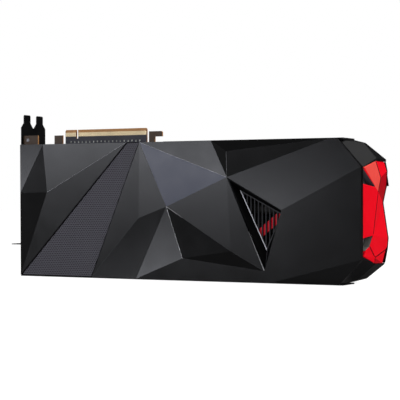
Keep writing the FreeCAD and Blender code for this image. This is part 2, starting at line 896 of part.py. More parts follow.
def make_memory():
    """Memory chips round the processor, each under a soft thermal pad."""
    spots = [centred(across, up, "memory_length", "memory_height") for across, up in MEMORY_SPOTS]
    chips = new_body("memory_chips")
    pad(chips, "chips", "XZ_Plane", "board_front", "memory_thickness", spots)
    pads = new_body("thermal_pads")
    pad(pads, "pads", "XZ_Plane", "board_front + memory_thickness",
        "die_front - board_front - memory_thickness", spots)


def make_power_parts():
    """Chokes, power stages and can capacitors beside the processor."""
    chokes = new_body("power_chokes")
    low = "board_bottom + choke_level"
    column = centred("chip_centre + choke_setback", low, "choke_side", "choke_side")
    first = pad(chokes, "choke", "XZ_Plane", "board_front", "choke_depth", [column])
    repeat(chokes, first, "Z_Axis", "choke_pitch", "choke_count")
    stages = new_body("power_stages")
    column = centred("chip_centre + stage_setback", low, "stage_width", "stage_width")
    first = pad(stages, "stage", "XZ_Plane", "board_front", "stage_depth", [column])
    repeat(stages, first, "Z_Axis", "choke_pitch", "choke_count")
    cans = new_body("polymer_capacitors")
    first = pad(cans, "can", "XZ_Plane", "board_front", "can_depth",
                circles=[("chip_centre + can_setback", "board_bottom + can_level", "can_radius")])
    repeat(cans, first, "Z_Axis", "can_pitch", "can_count")


# ------------------------------------------------------------------ bracket

def make_io_bracket():
    """Two-slot bracket with its tongues, screw flange, tabs, port holes and vents."""
    body = new_body("io_bracket")
    low = "flange_level"
    outline = [("bracket_side", low), ("bracket_far", low)]
    for centre in ("slot_two", "slot_one"):
        outline += [
            (f"{centre} + slot_width/2", "tongue_top - tongue_straight - tongue_taper"),
            (f"{centre} + tongue_width/2", "tongue_top - tongue_straight"),
            (f"{centre} + tongue_width/2", "tongue_top - tongue_bevel"),
            (f"{centre} + tongue_width/2 - tongue_bevel", "tongue_top"),
            (f"{centre} - tongue_width/2 + tongue_bevel", "tongue_top"),
            (f"{centre} - tongue_width/2", "tongue_top - tongue_bevel"),
            (f"{centre} - tongue_width/2", "tongue_top - tongue_straight"),
            (f"{centre} - slot_width/2", "tongue_top - tongue_straight - tongue_taper"),
        ]
    pad(body, "plate", "YZ_Plane", "-sheet", "sheet", [outline])
    pad(body, "flange", "YZ_Plane", "-flange_depth", "flange_depth - sheet/2",
        [rectangle("bracket_side", "bracket_far", low, f"{low} + sheet")])
    for name, across, up in (("upper", *BRACKET_SCREWS[0]), ("lower", *BRACKET_SCREWS[1])):
        pad(body, name + "_tab", "XZ_Plane", "board_front", "sheet",
            [rectangle("-sheet/2", "bracket_tab_length", f"{up} - bracket_tab_height/2",
                       f"{up} + bracket_tab_height/2")])
    pocket(body, "tab_holes", "XZ_Plane", "board_front", "sheet",
           circles=[(across, up, "screw_radius + screw_gap") for across, up in BRACKET_SCREWS])
    notches = []
    for centre in ("slot_one", "slot_two"):
        edge = f"{centre} + slot_width/2 + notch_offset"
        notches.append(rectangle("-flange_depth/2 - notch_radius", "-flange_depth/2 + notch_radius",
                                 f"{edge} - notch_setback", edge))
    pocket(body, "screw_notches", "XY_Plane", low, "sheet", notches)
    holes = []
    for number in range(4):
        up = f"port_first + {number}*port_pitch"
        holes.append(rectangle("board_front - port_gap", "board_front + port_depth + port_gap",
                               f"{up} - port_width/2 - port_gap",
                               f"{up} + port_width/2 + port_gap"))
    pocket(body, "port_holes", "YZ_Plane", "-sheet", "sheet", holes)
    slots = []
    for number in range(round(amount("air_slot_count"))):
        up = f"flange_level + air_slot_start + {number}*air_slot_pitch"
        slots.append([("slot_two - slot_width/3", up),
                      ("slot_two + slot_width/3", f"{up} + air_slot_slant"),
                      ("slot_two + slot_width/3", f"{up} + air_slot_slant + air_slot_height"),
                      ("slot_two - slot_width/3", f"{up} + air_slot_height")])
    pocket(body, "air_slots", "YZ_Plane", "-sheet", "sheet", slots)
    return body


def port_profile(up, narrow, shrink):
    """Port outline in Y and Z; narrow is the length cut off its far corners."""
    low = f"{up} - port_width/2 + {shrink}"
    high = f"{up} + port_width/2 - {shrink}"
    near = f"board_front + {shrink}"
    far = f"board_front + port_depth - {shrink}"
    if narrow == "one":
        return [(near, low), (far, low), (far, f"{high} - port_key"),
                (f"{far} - port_key", high), (near, high)]
    return [(near, low), (f"{far} - port_key", low), (far, f"{low} + port_key"),
            (far, f"{high} - port_key"), (f"{far} - port_key", high), (near, high)]


def make_ports():
    """Three display ports with one cut corner and one with two, each a drawn shell."""
    kinds = [("displayport_1", "one"), ("displayport_2", "one"),
             ("hdmi_port", "two"), ("displayport_3", "one")]
    tongues = new_body("port_tongues")
    for number, (label, narrow) in enumerate(kinds):
        up = f"port_first + {number}*port_pitch"
        body = new_body(label)
        pad(body, "shell", "YZ_Plane", "-sheet - port_proud", "port_length",
            [port_profile(up, narrow, "0")])
        pocket(body, "cavity", "YZ_Plane", "-sheet - port_proud", "port_recess",
               [port_profile(up, narrow, "port_wall")])
        middle = "board_front + port_depth/2"
        pad(tongues, f"tongue_{number}", "YZ_Plane",
            "port_recess - sheet - port_proud - insert_length", "insert_length",
            [rectangle(f"{middle} - insert_depth/2", f"{middle} + insert_depth/2",
                       f"{up} - insert_width/2", f"{up} + insert_width/2")])


# ------------------------------------------------------------------- cooler

def make_cold_plates():
    """Copper plate on the die, inside an aluminium plate over the memory."""
    cold = new_body("cold_plate")
    outline = centred("chip_centre", "chip_level", "cold_plate_side", "cold_plate_side")
    pad(cold, "copper", "XZ_Plane", "die_front", "cold_plate_thickness", [outline])
    frame = new_body("memory_plate")
    outer = "cold_plate_side + 2*memory_plate_margin"
    inner = "cold_plate_side + 2*memory_plate_gap"
    pad(frame, "frame", "XZ_Plane", "die_front", "cold_plate_thickness",
        [centred("chip_centre", "chip_level", outer, outer),
         centred("chip_centre", "chip_level", inner, inner)])
    pocket(frame, "screw_holes", "XZ_Plane", "die_front", "cold_plate_thickness",
           circles=[(across, up, "screw_head + screw_gap") for across, up in BOARD_SCREWS])


def rounded_path(points, radius):
    """Straight runs between points, joined by tangent arcs of one radius."""
    edges = []
    start = points[0]
    for before, corner, after in zip(points, points[1:], points[2:]):
        inward = (corner - before).normalize()
        outward = (after - corner).normalize()
        turn = inward.getAngle(outward)
        back = radius * math.tan(turn / 2)
        first = corner - inward * back
        last = corner + outward * back
        towards = (outward - inward).normalize()
        middle = corner + towards * (radius / math.cos(turn / 2) - radius)
        edges.append(Part.LineSegment(start, first).toShape())
        edges.append(Part.Arc(first, middle, last).toShape())
        start = last
    edges.append(Part.LineSegment(start, points[-1]).toShape())
    return Part.Wire(edges)


def flat_pipe_section(start, width, thickness):
    """Flattened pipe section across X: two flats joined by half rounds."""
    half = (width - thickness) / 2
    radius = thickness / 2
    low, high = start.z - half, start.z + half
    near, far = start.y - radius, start.y + radius
    edges = [
        Part.LineSegment(Vector(start.x, near, low), Vector(start.x, near, high)).toShape(),
        Part.Arc(Vector(start.x, near, high), Vector(start.x, start.y, high + radius),
                 Vector(start.x, far, high)).toShape(),
        Part.LineSegment(Vector(start.x, far, high), Vector(start.x, far, low)).toShape(),
        Part.Arc(Vector(start.x, far, low), Vector(start.x, start.y, low - radius),
                 Vector(start.x, near, low)).toShape(),
    ]
    return Part.Wire(edges)


def make_heat_pipes():
    """Five flattened pipes, close together on the cold plate and spread past it."""
    depth = amount("cold_front + pipe_thickness/2")
    start = amount("pipe_start")
    bend = amount("chip_centre + pipe_bend")
    end = amount("shroud_end - fin_end_gap - pipe_end_setback")
    pipes = []
    for number in range(-2, 3):
        near = amount("chip_level") + number * amount("pipe_pitch")
        far = amount("chip_level") + number * amount("pipe_spread")
        points = [Vector(start, depth, near), Vector(bend, depth, near),
                  Vector(bend + amount("pipe_slant"), depth, far), Vector(end, depth, far)]
        if number == 0:
            points = [points[0], points[-1]]
        path = rounded_path(points, amount("pipe_radius"))
        section = flat_pipe_section(points[0], amount("pipe_width"), amount("pipe_thickness"))
        pipes.append(path.makePipeShell([section], True, False))
    return shaped("heat_pipes", Part.makeCompound([pipe.Solids[0] for pipe in pipes]))


def make_fin_stack(label, start, end):
    """Row of upright fins that stand on the heat pipes, notched along both edges."""
    body = new_body(label)
    low = "shroud_wall + fin_margin"
    high = "shroud_top - shroud_wall - fin_margin"
    outline = [
        ("pipe_front", low), ("fin_front", low),
        ("fin_front", "shroud_middle - fin_notch"),
        ("fin_front - fin_notch_depth", "shroud_middle - fin_notch + fin_notch_depth"),
        ("fin_front - fin_notch_depth", "shroud_middle + fin_notch - fin_notch_depth"),
        ("fin_front", "shroud_middle + fin_notch"),
        ("fin_front", high), ("pipe_front", high),
    ]
    fin = pad(body, "fin", "YZ_Plane", start, "fin_sheet", [outline])
    repeat(body, fin, "X_Axis", "fin_pitch", f"floor(({end} - ({start}))/fin_pitch)")
    return body


# ------------------------------------------------------------------- shroud

def fan_centre(number):
    return f"(fan_first + {number}*fan_pitch)"


def depth_edges(body, depth, wanted):
    """Names of a body's edges that lie flat at a depth and pass a test on their box."""
    names = []
    level = amount(depth) + amount("shift_y")
    for number, edge in enumerate(body.Shape.Edges, start=1):
        box = edge.BoundBox
        if max(abs(box.YMin - level), abs(box.YMax - level)) < 0.01 and wanted(box):
            names.append(f"Edge{number}")
    return names


def bevel(body, name, size, names):
    """Cut a flat bevel along some edges of the body's latest feature."""
    latest = body.Tip
    edge = body.newObject("PartDesign::Chamfer", name)
    edge.Base = (latest, names)
    edge.setExpression("Size", formula(size))
    body.Tip = edge
    doc.recompute()
    return edge


def shroud_facets():
    """Triangles let into the shroud's front, above and below, between the ducts."""
    facets = []
    for number in range(2):
        middle = f"{fan_centre(number)} + fan_pitch/2"
        for edge, sign in (("facet_inset", "+"), ("shroud_top - facet_inset", "-")):
            tip = f"{edge} {sign} facet_reach"
            facets.append([(f"{middle} - facet_spread", edge), (f"{middle} + facet_spread", edge),
                           (middle, tip)])
    return facets


def make_shroud():
    """Deep front shell with three fan ducts, slanted side windows and cut-outs."""
    body = new_body("shroud")
    pad(body, "block", "XZ_Plane", "plate_seat", "card_thickness - plate_seat",
        [rectangle("shroud_start", "shroud_end", "0", "shroud_top")])
    pocket(body, "inside", "XZ_Plane", "plate_seat", "card_thickness - plate_seat - shroud_wall",
           [rectangle("shroud_start + shroud_wall", "shroud_end + shroud_wall", "shroud_wall",
                      "shroud_top - shroud_wall")])
    bevel(body, "front_edges", "shroud_wall - cover_gap",
          depth_edges(body, "card_thickness", lambda box: box.XLength > box.ZLength))
    for number in range(3):
        centre = (fan_centre(number), "shroud_middle")
        pad(body, f"duct_{number}", "XZ_Plane", "duct_back", "duct_depth - shroud_wall/2",
            circles=[(*centre, "duct_radius + duct_wall")])
    for number in range(3):
        centre = (fan_centre(number), "shroud_middle")
        pocket(body, f"fan_opening_{number}", "XZ_Plane", "duct_back", "duct_depth",
               circles=[(*centre, "duct_radius")])
    mouth = 1.9 * amount("duct_radius")
    bevel(body, "duct_mouths", "duct_bevel",
          depth_edges(body, "card_thickness", lambda box: mouth < box.ZLength < 1.1 * mouth))
    pocket(body, "front_facets", "XZ_Plane", "card_thickness - facet_sink", "facet_sink",
           shroud_facets())
    for name, level in (("lower", "0"), ("upper", "shroud_top - shroud_wall")):
        windows = []
        for number in range(round(amount("window_count"))):
            left = f"window_start + {number}*window_pitch"
            windows.append([(left, "window_back"), (f"{left} + window_length", "window_back"),
                            (f"{left} + window_length - window_slant", "window_front"),
                            (f"{left} + window_slant", "window_front")])
        pocket(body, name + "_windows", "XY_Plane", level, "shroud_wall", windows)
    pocket(body, "board_slot", "XY_Plane", "shroud_top - shroud_wall", "shroud_wall",
           [rectangle("0", "hook_end + board_slot_gap", "0", "board_slot_depth")])
    pocket(body, "end_window", "YZ_Plane", "shroud_start", "shroud_wall",
           [rectangle("0", "end_window_front", "2*shroud_wall", "shroud_top - shroud_wall")])
    sockets = []
    for number in range(2):
        centre = f"(socket_first + {number}*socket_pitch)"
        sockets.append(rectangle(f"{centre} - socket_width/2 - port_gap",
                                 f"{centre} + socket_width/2 + port_gap",
                                 "board_front - port_gap", "board_front + socket_depth + port_gap"))
    pocket(body, "socket_cutouts", "XY_Plane", "0", "shroud_wall", sockets)
    for name, low, high in (("lower", "0", "plate_bottom - lip_gap"),
                            ("upper", "plate_top - cap_step + lip_gap", "shroud_top")):
        pad(body, name + "_lip", "XZ_Plane", "plate_seat", "cap_crease - plate_seat - lip_gap",
            [rectangle("shroud_end - shroud_wall", "shroud_end + lip_reach", low, high)])
    return body


# Corners of the end cap's outlines, from its upper cut corner round to its lower
# one.  Each is a share of that cut's length along the card and of its height,
# counted from the square corner that the cut takes off.
CAP_BACK = [("top", -1.0, 0.0), ("top", 0.0, -1.0), ("low", 0.0, 1.0), ("low", -1.0, 0.0)]
CAP_CREASE = [("top", -0.42, -0.160), ("top", 0.079, -0.681),
              ("low", 0.086, 0.807), ("low", -0.892, 0.050)]
CAP_FRONT = [("top", -0.879, -0.088), ("top", -0.014, -0.697),
             ("low", -0.092, 0.718), ("low", -0.951, 0.094)]


def cap_corner(side, along, up):
    """A corner of the end cap from its shares of a cut corner, as formulas."""
    if side == "top":
        return (f"plate_end + {along}*top_corner_run",
                f"plate_top + {up}*top_corner_drop - cap_step*{int(up == 0)}")
    return f"plate_end + {along}*low_corner_run", f"plate_bottom + {up}*low_corner_rise"


def make_end_cap():
    """Faceted end shell with two cut corners and a recessed middle for the cover."""
    body = new_body("end_cap")
    top = "plate_top - cap_step"
    levels = [
        ("plate_seat", CAP_BACK, top, "plate_bottom"),
        ("cap_crease", CAP_CREASE, top, "plate_bottom"),
        ("card_thickness", CAP_FRONT, "plate_top + cap_lip", "0"),
    ]
    sections = []
    for number, (level, corners, high, low) in enumerate(levels):
        outline = [("shroud_end", low), ("shroud_end", high)]
        outline += [cap_corner(*corner) for corner in corners]
        sections.append(draw(body, f"shell_{number}", "XZ_Plane", level, [outline], []))
    loft(body, "shell", sections)
    wall = "cap_wall"
    inner = [("shroud_end - cap_wall", f"{top} - {wall}"),
             ("shroud_end - cap_wall", f"plate_bottom + {wall}"),
             (f"plate_end - low_corner_run - {wall}/2", f"plate_bottom + {wall}"),
             (f"panel_face - {wall}", f"plate_bottom + low_corner_rise - {wall}/2"),
             (f"panel_face - {wall}", f"plate_top - top_corner_drop + {wall}/2"),
             (f"plate_end - top_corner_run - {wall}/2", f"{top} - {wall}")]
    pocket(body, "inside", "XZ_Plane", "plate_seat", f"card_thickness - plate_seat - {wall}",
           [inner])
    upper = [cover_edge(name, "cover_gap") for name in COVER_TOP]
    lower = [cover_edge(name, "(-cover_gap)") for name in reversed(COVER_LOW)]
    past = "card_thickness + cap_wall"
    recess = [("0", upper[0][1]), *upper, (past, upper[2][1]),
              (past, lower[0][1]), *lower, ("0", lower[2][1])]
    pocket(body, "cover_seat", "YZ_Plane", "panel_face", "cap_recess + cover_relief", [recess])
    pad(body, "front_tab", "XZ_Plane", "card_thickness - cap_tab_depth", "cap_tab_depth",
        [[("panel_face - cap_wall", "plate_bottom + 0.778*plate_height"),
          ("plate_end + cap_tab_reach/4", "plate_bottom + 0.764*plate_height"),
          ("plate_end + cap_tab_reach", "plate_bottom + 0.674*plate_height"),
          ("panel_face - cap_wall", "plate_bottom + 0.661*plate_height")]])
    rim = [cover_profile(name) for name in COVER_FRONT]
    rim = [("panel_face - cap_wall", rim[0][1]), *rim, ("panel_face - cap_wall", rim[-1][1])]
    pad(body, "front_rim", "XZ_Plane", "card_thickness - cap_rim_depth", "cap_rim_depth", [rim])
    return body


# Corners of the red cover, as shares: depth into the card's thickness, height up
# the backplate, and how far the corner stands out of the cover's full relief.
COVER_CORNERS = {
    "top_back": (0.044, 0.797, 0.667),
    "top_ridge": (0.474, 0.845, 0.728),
    "top_front": (0.93, 0.843, 0.457),
    "brow": (0.579, 0.73, 1),
    "front_shoulder": (0.965, 0.78, 0.654),
    "front_cheek": (0.965, 0.674, 0.58),
    "front_waist": (0.965, 0.556, 0.198),
    "front_belly": (0.965, 0.306, 0.778),
    "front_hip": (0.965, 0.245, 0.704),
    "front_heel": (0.912, 0.225, 0.667),
    "low_front": (0.877, 0.131, 0.395),
    "low_ridge": (0.474, 0.135, 0.605),
    "low_back": (0.044, 0.188, 0.605),
    "heel": (0.439, 0.177, 0.741),
    "low_notch_foot": (0.105, 0.233, 0.667),
    "low_notch_side": (0.211, 0.256, 0.778),
    "low_notch_tip": (0.316, 0.33, 0.864),
    "low_notch_top": (0.14, 0.319, 0.617),
    "low_notch_back": (0.044, 0.31, 0.481),
    "back_break": (0.044, 0.492, 0.506),
    "high_notch_foot": (0.044, 0.687, 0.506),
    "high_notch_tip": (0.421, 0.666, 0.802),
    "high_notch_back": (0.044, 0.778, 0.605),
    "spine": (0.526, 0.633, 0.864),
}

COVER_RIM = ["top_back", "top_ridge", "top_front", "front_shoulder", "front_cheek",
             "front_waist", "front_belly", "front_hip", "front_heel", "low_front", "low_ridge",
             "low_back", "low_notch_foot", "low_notch_side", "low_notch_tip", "low_notch_top",
             "low_notch_back", "back_break", "high_notch_foot", "high_notch_tip",
             "high_notch_back"]

COVER_FACETS = [
    ("top_back", "high_notch_tip", "high_notch_back"),
    ("top_back", "top_ridge", "high_notch_tip"),
    ("top_ridge", "brow", "high_notch_tip"),
    ("brow", "spine", "high_notch_tip"),
    ("top_ridge", "top_front", "brow"),
    ("top_front", "front_shoulder", "brow"),
    ("brow", "front_shoulder", "front_cheek"),
    ("brow", "front_cheek", "spine"),
    ("front_cheek", "front_waist", "spine"),
    ("high_notch_foot", "high_notch_tip", "back_break"),
    ("high_notch_tip", "spine", "back_break"),
    ("spine", "low_notch_tip", "back_break"),
    ("low_notch_tip", "low_notch_top", "back_break"),
    ("back_break", "low_notch_top", "low_notch_back"),
    ("spine", "front_waist", "low_notch_tip"),
    ("front_waist", "front_belly", "low_notch_tip"),
    ("front_belly", "front_hip", "low_notch_tip"),
    ("front_hip", "front_heel", "low_notch_tip"),
    ("front_heel", "heel", "low_notch_tip"),
    ("heel", "low_notch_side", "low_notch_tip"),
    ("heel", "front_heel", "low_front"),
    ("heel", "low_front", "low_ridge"),
    ("low_notch_side", "heel", "low_notch_foot"),
    ("heel", "low_back", "low_notch_foot"),
    ("heel", "low_ridge", "low_back"),
]


COVER_TOP = ["top_back", "top_ridge", "top_front"]
COVER_LOW = ["low_back", "low_ridge", "low_front"]
COVER_FRONT = ["top_front", "front_shoulder", "front_cheek", "front_waist", "front_belly",
               "front_hip", "front_heel", "low_front"]


def cover_edge(name, gap):
    """Depth of one of the cover's corners, and its height plus a gap, as formulas."""
    deep, up, proud = COVER_CORNERS[name]
    return f"{deep}*card_thickness", f"plate_bottom + {up}*plate_height + {gap}"


def cover_profile(name):
    """How far one of the cover's corners stands out, and its height, as formulas."""
    deep, up, proud = COVER_CORNERS[name]
    return f"cover_seat + {proud}*cover_relief", f"plate_bottom + {up}*plate_height"


def cover_corner(name):
    deep, up, proud = COVER_CORNERS[name]
    return Vector(amount("cover_seat") + proud * amount("cover_relief"),
                  deep * amount("card_thickness"),
                  amount("plate_bottom") + up * amount("plate_height"))


def make_red_end_cover():
    """Faceted cover on the end of the card, with a notch high and a notch low."""
    seat = amount("cover_seat")
    corners = {name: cover_corner(name) for name in COVER_CORNERS}
    block = faceted_block(corners, COVER_FACETS, COVER_RIM,
                          lambda point: Vector(seat, point.y, point.z))
    return shaped("red_end_cover", block)


def make_end_panel():
    """Grey plate in the end cap's recess, seen through the cover's notches."""
    body = new_body("end_panel")
    low = [cover_edge(name, "cover_gap") for name in COVER_LOW]
    top = [cover_edge(name, "(-cover_gap)") for name in reversed(COVER_TOP)]
    front = "card_thickness - cap_wall"
    back = "plate_seat + cover_gap"
    outline = [(back, low[0][1]), low[1], low[2], (front, low[2][1]),
               (front, top[0][1]), top[1], (back, top[2][1])]
    pad(body, "panel", "YZ_Plane", "panel_face", "end_panel_thickness", [outline])
    return body


# --------------------------------------------------------------------- fans

def blade_section(body, number, radius, chord, angle, sweep):
    """Thin cambered blade section square to a radius that is swept round the axis."""
    middle = "(hub_back + hub_front)/2"
    lower, upper = [], []
    for step, lift in ((-0.5, 0), (0, 1), (0.5, 0)):
        deep = f"{middle} + {step}*{chord}*sin({angle}) + {lift}*blade_camber*cos({angle})"
        high = f"{step}*{chord}*cos({angle}) - {lift}*blade_camber*sin({angle})"
        half = "blade_thickness/2" if lift else "blade_thickness/3"
        lower.append((f"{deep} - {half}*cos({angle})", f"{high} + {half}*sin({angle})"))
        upper.append((f"{deep} + {half}*cos({angle})", f"{high} - {half}*sin({angle})"))
    section = draw(body, f"blade_{number}", "YZ_Plane", "0", [lower + upper[::-1]], [])
    section.AttachmentOffset = FreeCAD.Placement(Vector(), Vector(1, 0, 0), -amount(sweep))
    section.setExpression("AttachmentOffset.Rotation.Angle", formula(f"-({sweep})"))
    section.setExpression("AttachmentOffset.Base.y", formula(f"({radius})*sin({sweep})"))
    section.setExpression("AttachmentOffset.Base.z", formula(f"({radius})*cos({sweep})"))
    return section


def make_fan_rotor(number):
    """Hub cup with eleven swept, twisted blades."""
    body = new_body(f"fan_rotor_{number + 1}", fan_centre(number), "shroud_middle")
    revolve(body, "hub", [
        ("0", "hub_front"), ("hub_radius - hub_round", "hub_front"),
        ("hub_radius", "hub_front - hub_round"), ("hub_radius", "hub_back"),
        ("hub_radius - hub_wall", "hub_back"), ("hub_radius - hub_wall", "cup_floor"),
        ("shaft_radius + shaft_boss_wall", "cup_floor"),
        ("shaft_radius + shaft_boss_wall", "cup_floor - shaft_boss_length"),
        ("shaft_radius", "cup_floor - shaft_boss_length"),
        ("shaft_radius", "shaft_front"), ("0", "shaft_front")])
    reach = "sqrt((duct_radius - tip_gap)^2 - (tip_chord/2*cos(tip_angle))^2)"
    sections = [
        blade_section(body, 0, "blade_root", "root_chord", "root_angle", "0"),
        blade_section(body, 1, "blade_middle", "middle_chord", "middle_angle", "blade_sweep/3"),
        blade_section(body, 2, reach, "tip_chord", "tip_angle", "blade_sweep")]
    blade = loft(body, "blade", sections)
    repeat_round(body, blade, "blade_count")
    return body


def make_fan_motor(number):
    """Shaft, bearing, magnet ring and stator of one fan."""
    where = (fan_centre(number), "shroud_middle")
    shaft = new_body(f"fan_shaft_{number + 1}", *where)
    revolve(shaft, "pin", [
        ("0", "bearing_back"), ("shaft_radius - shaft_bevel", "bearing_back"),
        ("shaft_radius", "bearing_back + shaft_bevel"), ("shaft_radius", "shaft_front"),
        ("0", "shaft_front")])
    bearing = new_body(f"fan_bearing_{number + 1}", *where)
    revolve(bearing, "sleeve", [
        ("bearing_inner", "bearing_back"), ("bearing_outer", "bearing_back"),
        ("bearing_outer", "tube_front"), ("bearing_inner", "tube_front")])
    magnet = new_body(f"fan_magnet_{number + 1}", *where)
    revolve(magnet, "ring", [
        ("magnet_inner", "magnet_back"), ("magnet_outer", "magnet_back"),
        ("magnet_outer", "magnet_back + magnet_height"),
        ("magnet_inner", "magnet_back + magnet_height")])
    stator = new_body(f"fan_stator_{number + 1}", *where)
    revolve(stator, "core", [
        ("core_inner", "stator_back"), ("core_radius", "stator_back"),
        ("core_radius", "stator_back + stator_height"),
        ("core_inner", "stator_back + stator_height")])
    root = "core_radius - pole_root"
    neck = "pole_radius - shoe_depth"
    edge = "pole_radius - shoe_bevel"
    pole = pad(stator, "pole", "XZ_Plane", "stator_back + pole_setback",
               "stator_height - 2*pole_setback",
               [[(root, "-pole_width/2"), (neck, "-pole_width/2"), (neck, "-pole_width"),
                 (edge, "-pole_width"), ("pole_radius - shoe_crown", "0"), (edge, "pole_width"),
                 (neck, "pole_width"), (neck, "pole_width/2"), (root, "pole_width/2")]])
    repeat_round(stator, pole, "pole_count")


def make_fan_frame(number):
    """Motor plate on three arms inside a ring that seats on the duct."""
    body = new_body(f"fan_frame_{number + 1}", fan_centre(number), "shroud_middle")
    outer = "fan_pitch/2 - frame_gap"
    inner = f"{outer} - frame_ring - frame_land"
    pad(body, "ring", "XZ_Plane", "frame_back", "frame_thickness",
        circles=[("0", "0", outer), ("0", "0", inner)])
    arm = pad(body, "arm", "XZ_Plane", "frame_back", "frame_thickness",
              [rectangle("frame_disc - arm_width/2", f"{inner} + frame_land", "-arm_width/2",
                         "arm_width/2")])
    repeat_round(body, arm, "arm_count")
    pad(body, "disc", "XZ_Plane", "frame_back", "frame_thickness",
        circles=[("0", "0", "frame_disc")])
    pad(body, "tube", "XZ_Plane", "frame_back", "tube_front - frame_back",
        circles=[("0", "0", "tube_outer")])
    pocket(body, "bearing_seat", "XZ_Plane", "bearing_back", "tube_front - frame_back",
           circles=[("0", "0", "bearing_outer")])
    return body


# ------------------------------------------------------------ power sockets

def make_power_sockets():
    """Two eight-way sockets on the lower edge of the board, with their pins."""
    pins = new_body("power_pins")
    for number in range(2):
        centre = f"(socket_first + {number}*socket_pitch)"
        body = new_body(f"power_socket_{number + 1}")
        pad(body, "housing", "XY_Plane", "socket_mouth", "socket_length",
            [centred(centre, "board_front + socket_depth/2", "socket_width", "socket_depth")])
        pad(body, "latch_rib", "XY_Plane", "socket_mouth + latch_setback",
            "socket_length - 2*latch_setback",
            [rectangle(f"{centre} - latch_width/2", f"{centre} + latch_width/2",
                       "board_front + socket_depth/2",
                       "board_front + socket_depth + latch_proud")])
        pocket(body, "mouth", "XY_Plane", "socket_mouth", "socket_recess",
               [centred(centre, "board_front + socket_depth/2", "socket_width - 2*socket_wall",
                        "socket_depth - 2*socket_wall")])
        outlines = []
        for column in range(4):
            for row in range(2):
                across = f"{centre} + ({column} - 1.5)*pin_pitch"
                deep = f"board_front + socket_depth/2 + ({row} - 0.5)*pin_pitch"
                outlines.append(centred(across, deep, "pin_width", "pin_width"))
        pad(pins, f"pins_{number}", "XY_Plane", "socket_mouth + socket_recess - pin_length",
            "pin_length", outlines)


def make_fan_headers():
    """Two small board connectors for the fan leads."""
    body = new_body("fan_headers")
    low = "board_top - header_drop"
    for number, across in enumerate(("board_end - header_setback", "board_start + header_start")):
        outline = rectangle(across, f"{across} + header_length", low, f"{low} + header_depth")
        pad(body, f"header_{number}", "XZ_Plane", "board_front", "header_depth", [outline])
    return body


# ---------------------------------------------------------------- fasteners

def screw(across, up, shank_start, head_start):
    """One screw along Y with its head towards the fans and a cross recess."""
    shank = drill(across, up, "screw_radius", shank_start, head_start)
    head = drill(across, up, "screw_head", head_start, f"{head_start} + screw_head_depth")
    solid = shank.fuse(head)
    centre = Vector(amount(across), amount(head_start) + amount("screw_head_depth") / 2,
                    amount(up))
    length, width = amount("recess_length"), amount("recess_width")
    for wide, tall in ((length, width), (width, length)):
        slot = Part.makeBox(wide, amount("screw_head_depth"), tall,
                            centre - Vector(wide / 2, 0, tall / 2))
        solid = solid.cut(slot)
    return solid


def make_screws():
    """Screws of the board and of the bracket's tabs."""
    board = [screw(across, up, "board_back - screw_engage + screw_tip_gap", "board_front")
             for across, up in BOARD_SCREWS + EDGE_SCREWS]
    shaped("board_screws", Part.makeCompound(board))
    tabs = [screw(across, up, "board_back", "board_front + sheet")
            for across, up in BRACKET_SCREWS]
    shaped("bracket_screws", Part.makeCompound(tabs))


# -------------------------------------------------------------------- build

make_backplate()
make_mesh_panel()
make_vent_grille()
make_vent_accent_bar()
make_circuit_board()
make_edge_contacts()
make_surface_capacitors()
make_processor()
make_memory()
make_power_parts()
make_io_bracket()
make_ports()
make_cold_plates()
make_heat_pipes()
make_fin_stack("fin_stack_main", "fin_start", "stack_end")
make_fin_stack("fin_stack_rear", "stack_end + stack_gap", "shroud_end - fin_end_gap")
make_shroud()
make_end_cap()
make_end_panel()
make_red_end_cover()
for fan in range(3):
    make_fan_rotor(fan)
    make_fan_motor(fan)
    make_fan_frame(fan)
make_power_sockets()
make_fan_headers()
make_screws()
doc.recompute()

PIECES = [piece for piece in doc.Objects
          if piece.TypeId in ("PartDesign::Body", "Part::Feature")]
faults = [piece.Name for piece in doc.Objects
          if "Invalid" in piece.State or "Error" in piece.State]
for piece in PIECES:
    if piece.Shape.isNull() or not piece.Shape.isValid() or not piece.Shape.Solids:
        faults.append(piece.Label)
if faults:
    raise RuntimeError("not built: " + ", ".join(faults))

os.makedirs("parts", exist_ok=True)
for piece in PIECES:
    piece.Shape.exportStep(f"parts/{piece.Label}.step")
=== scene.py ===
import json
import math

import bmesh
import bpy
import numpy as np
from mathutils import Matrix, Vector


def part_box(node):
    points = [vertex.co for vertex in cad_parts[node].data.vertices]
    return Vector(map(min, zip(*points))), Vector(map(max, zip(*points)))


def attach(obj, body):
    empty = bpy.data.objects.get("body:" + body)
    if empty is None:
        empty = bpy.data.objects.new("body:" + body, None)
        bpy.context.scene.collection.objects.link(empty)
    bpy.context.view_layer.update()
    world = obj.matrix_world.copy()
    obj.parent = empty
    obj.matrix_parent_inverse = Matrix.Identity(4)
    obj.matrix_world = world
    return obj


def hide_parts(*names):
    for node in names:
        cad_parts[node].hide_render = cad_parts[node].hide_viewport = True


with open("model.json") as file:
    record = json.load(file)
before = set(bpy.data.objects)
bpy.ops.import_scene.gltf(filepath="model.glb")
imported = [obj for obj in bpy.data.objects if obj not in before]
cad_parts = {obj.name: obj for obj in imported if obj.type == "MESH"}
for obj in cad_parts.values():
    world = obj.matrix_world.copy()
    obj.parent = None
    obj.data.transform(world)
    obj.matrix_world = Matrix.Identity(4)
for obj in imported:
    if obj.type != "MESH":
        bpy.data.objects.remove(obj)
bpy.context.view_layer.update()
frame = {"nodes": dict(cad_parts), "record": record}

MM = 0.001
NODES = frame["nodes"]
BODY_OF = {node: body for body, nodes in frame["record"]["behaviour"]["bodies"].items()
           for node in nodes}
SLOT_OF = {part["node"]: part["material_slot"] for part in frame["record"]["subparts"]}


# ------------------------------------------------------------------- materials

def shader(name):
    """A new material, its node tree and its Principled shader."""
    material = bpy.data.materials.new(name)
    material.use_nodes = True
    tree = material.node_tree
    return material, tree, tree.nodes["Principled BSDF"]


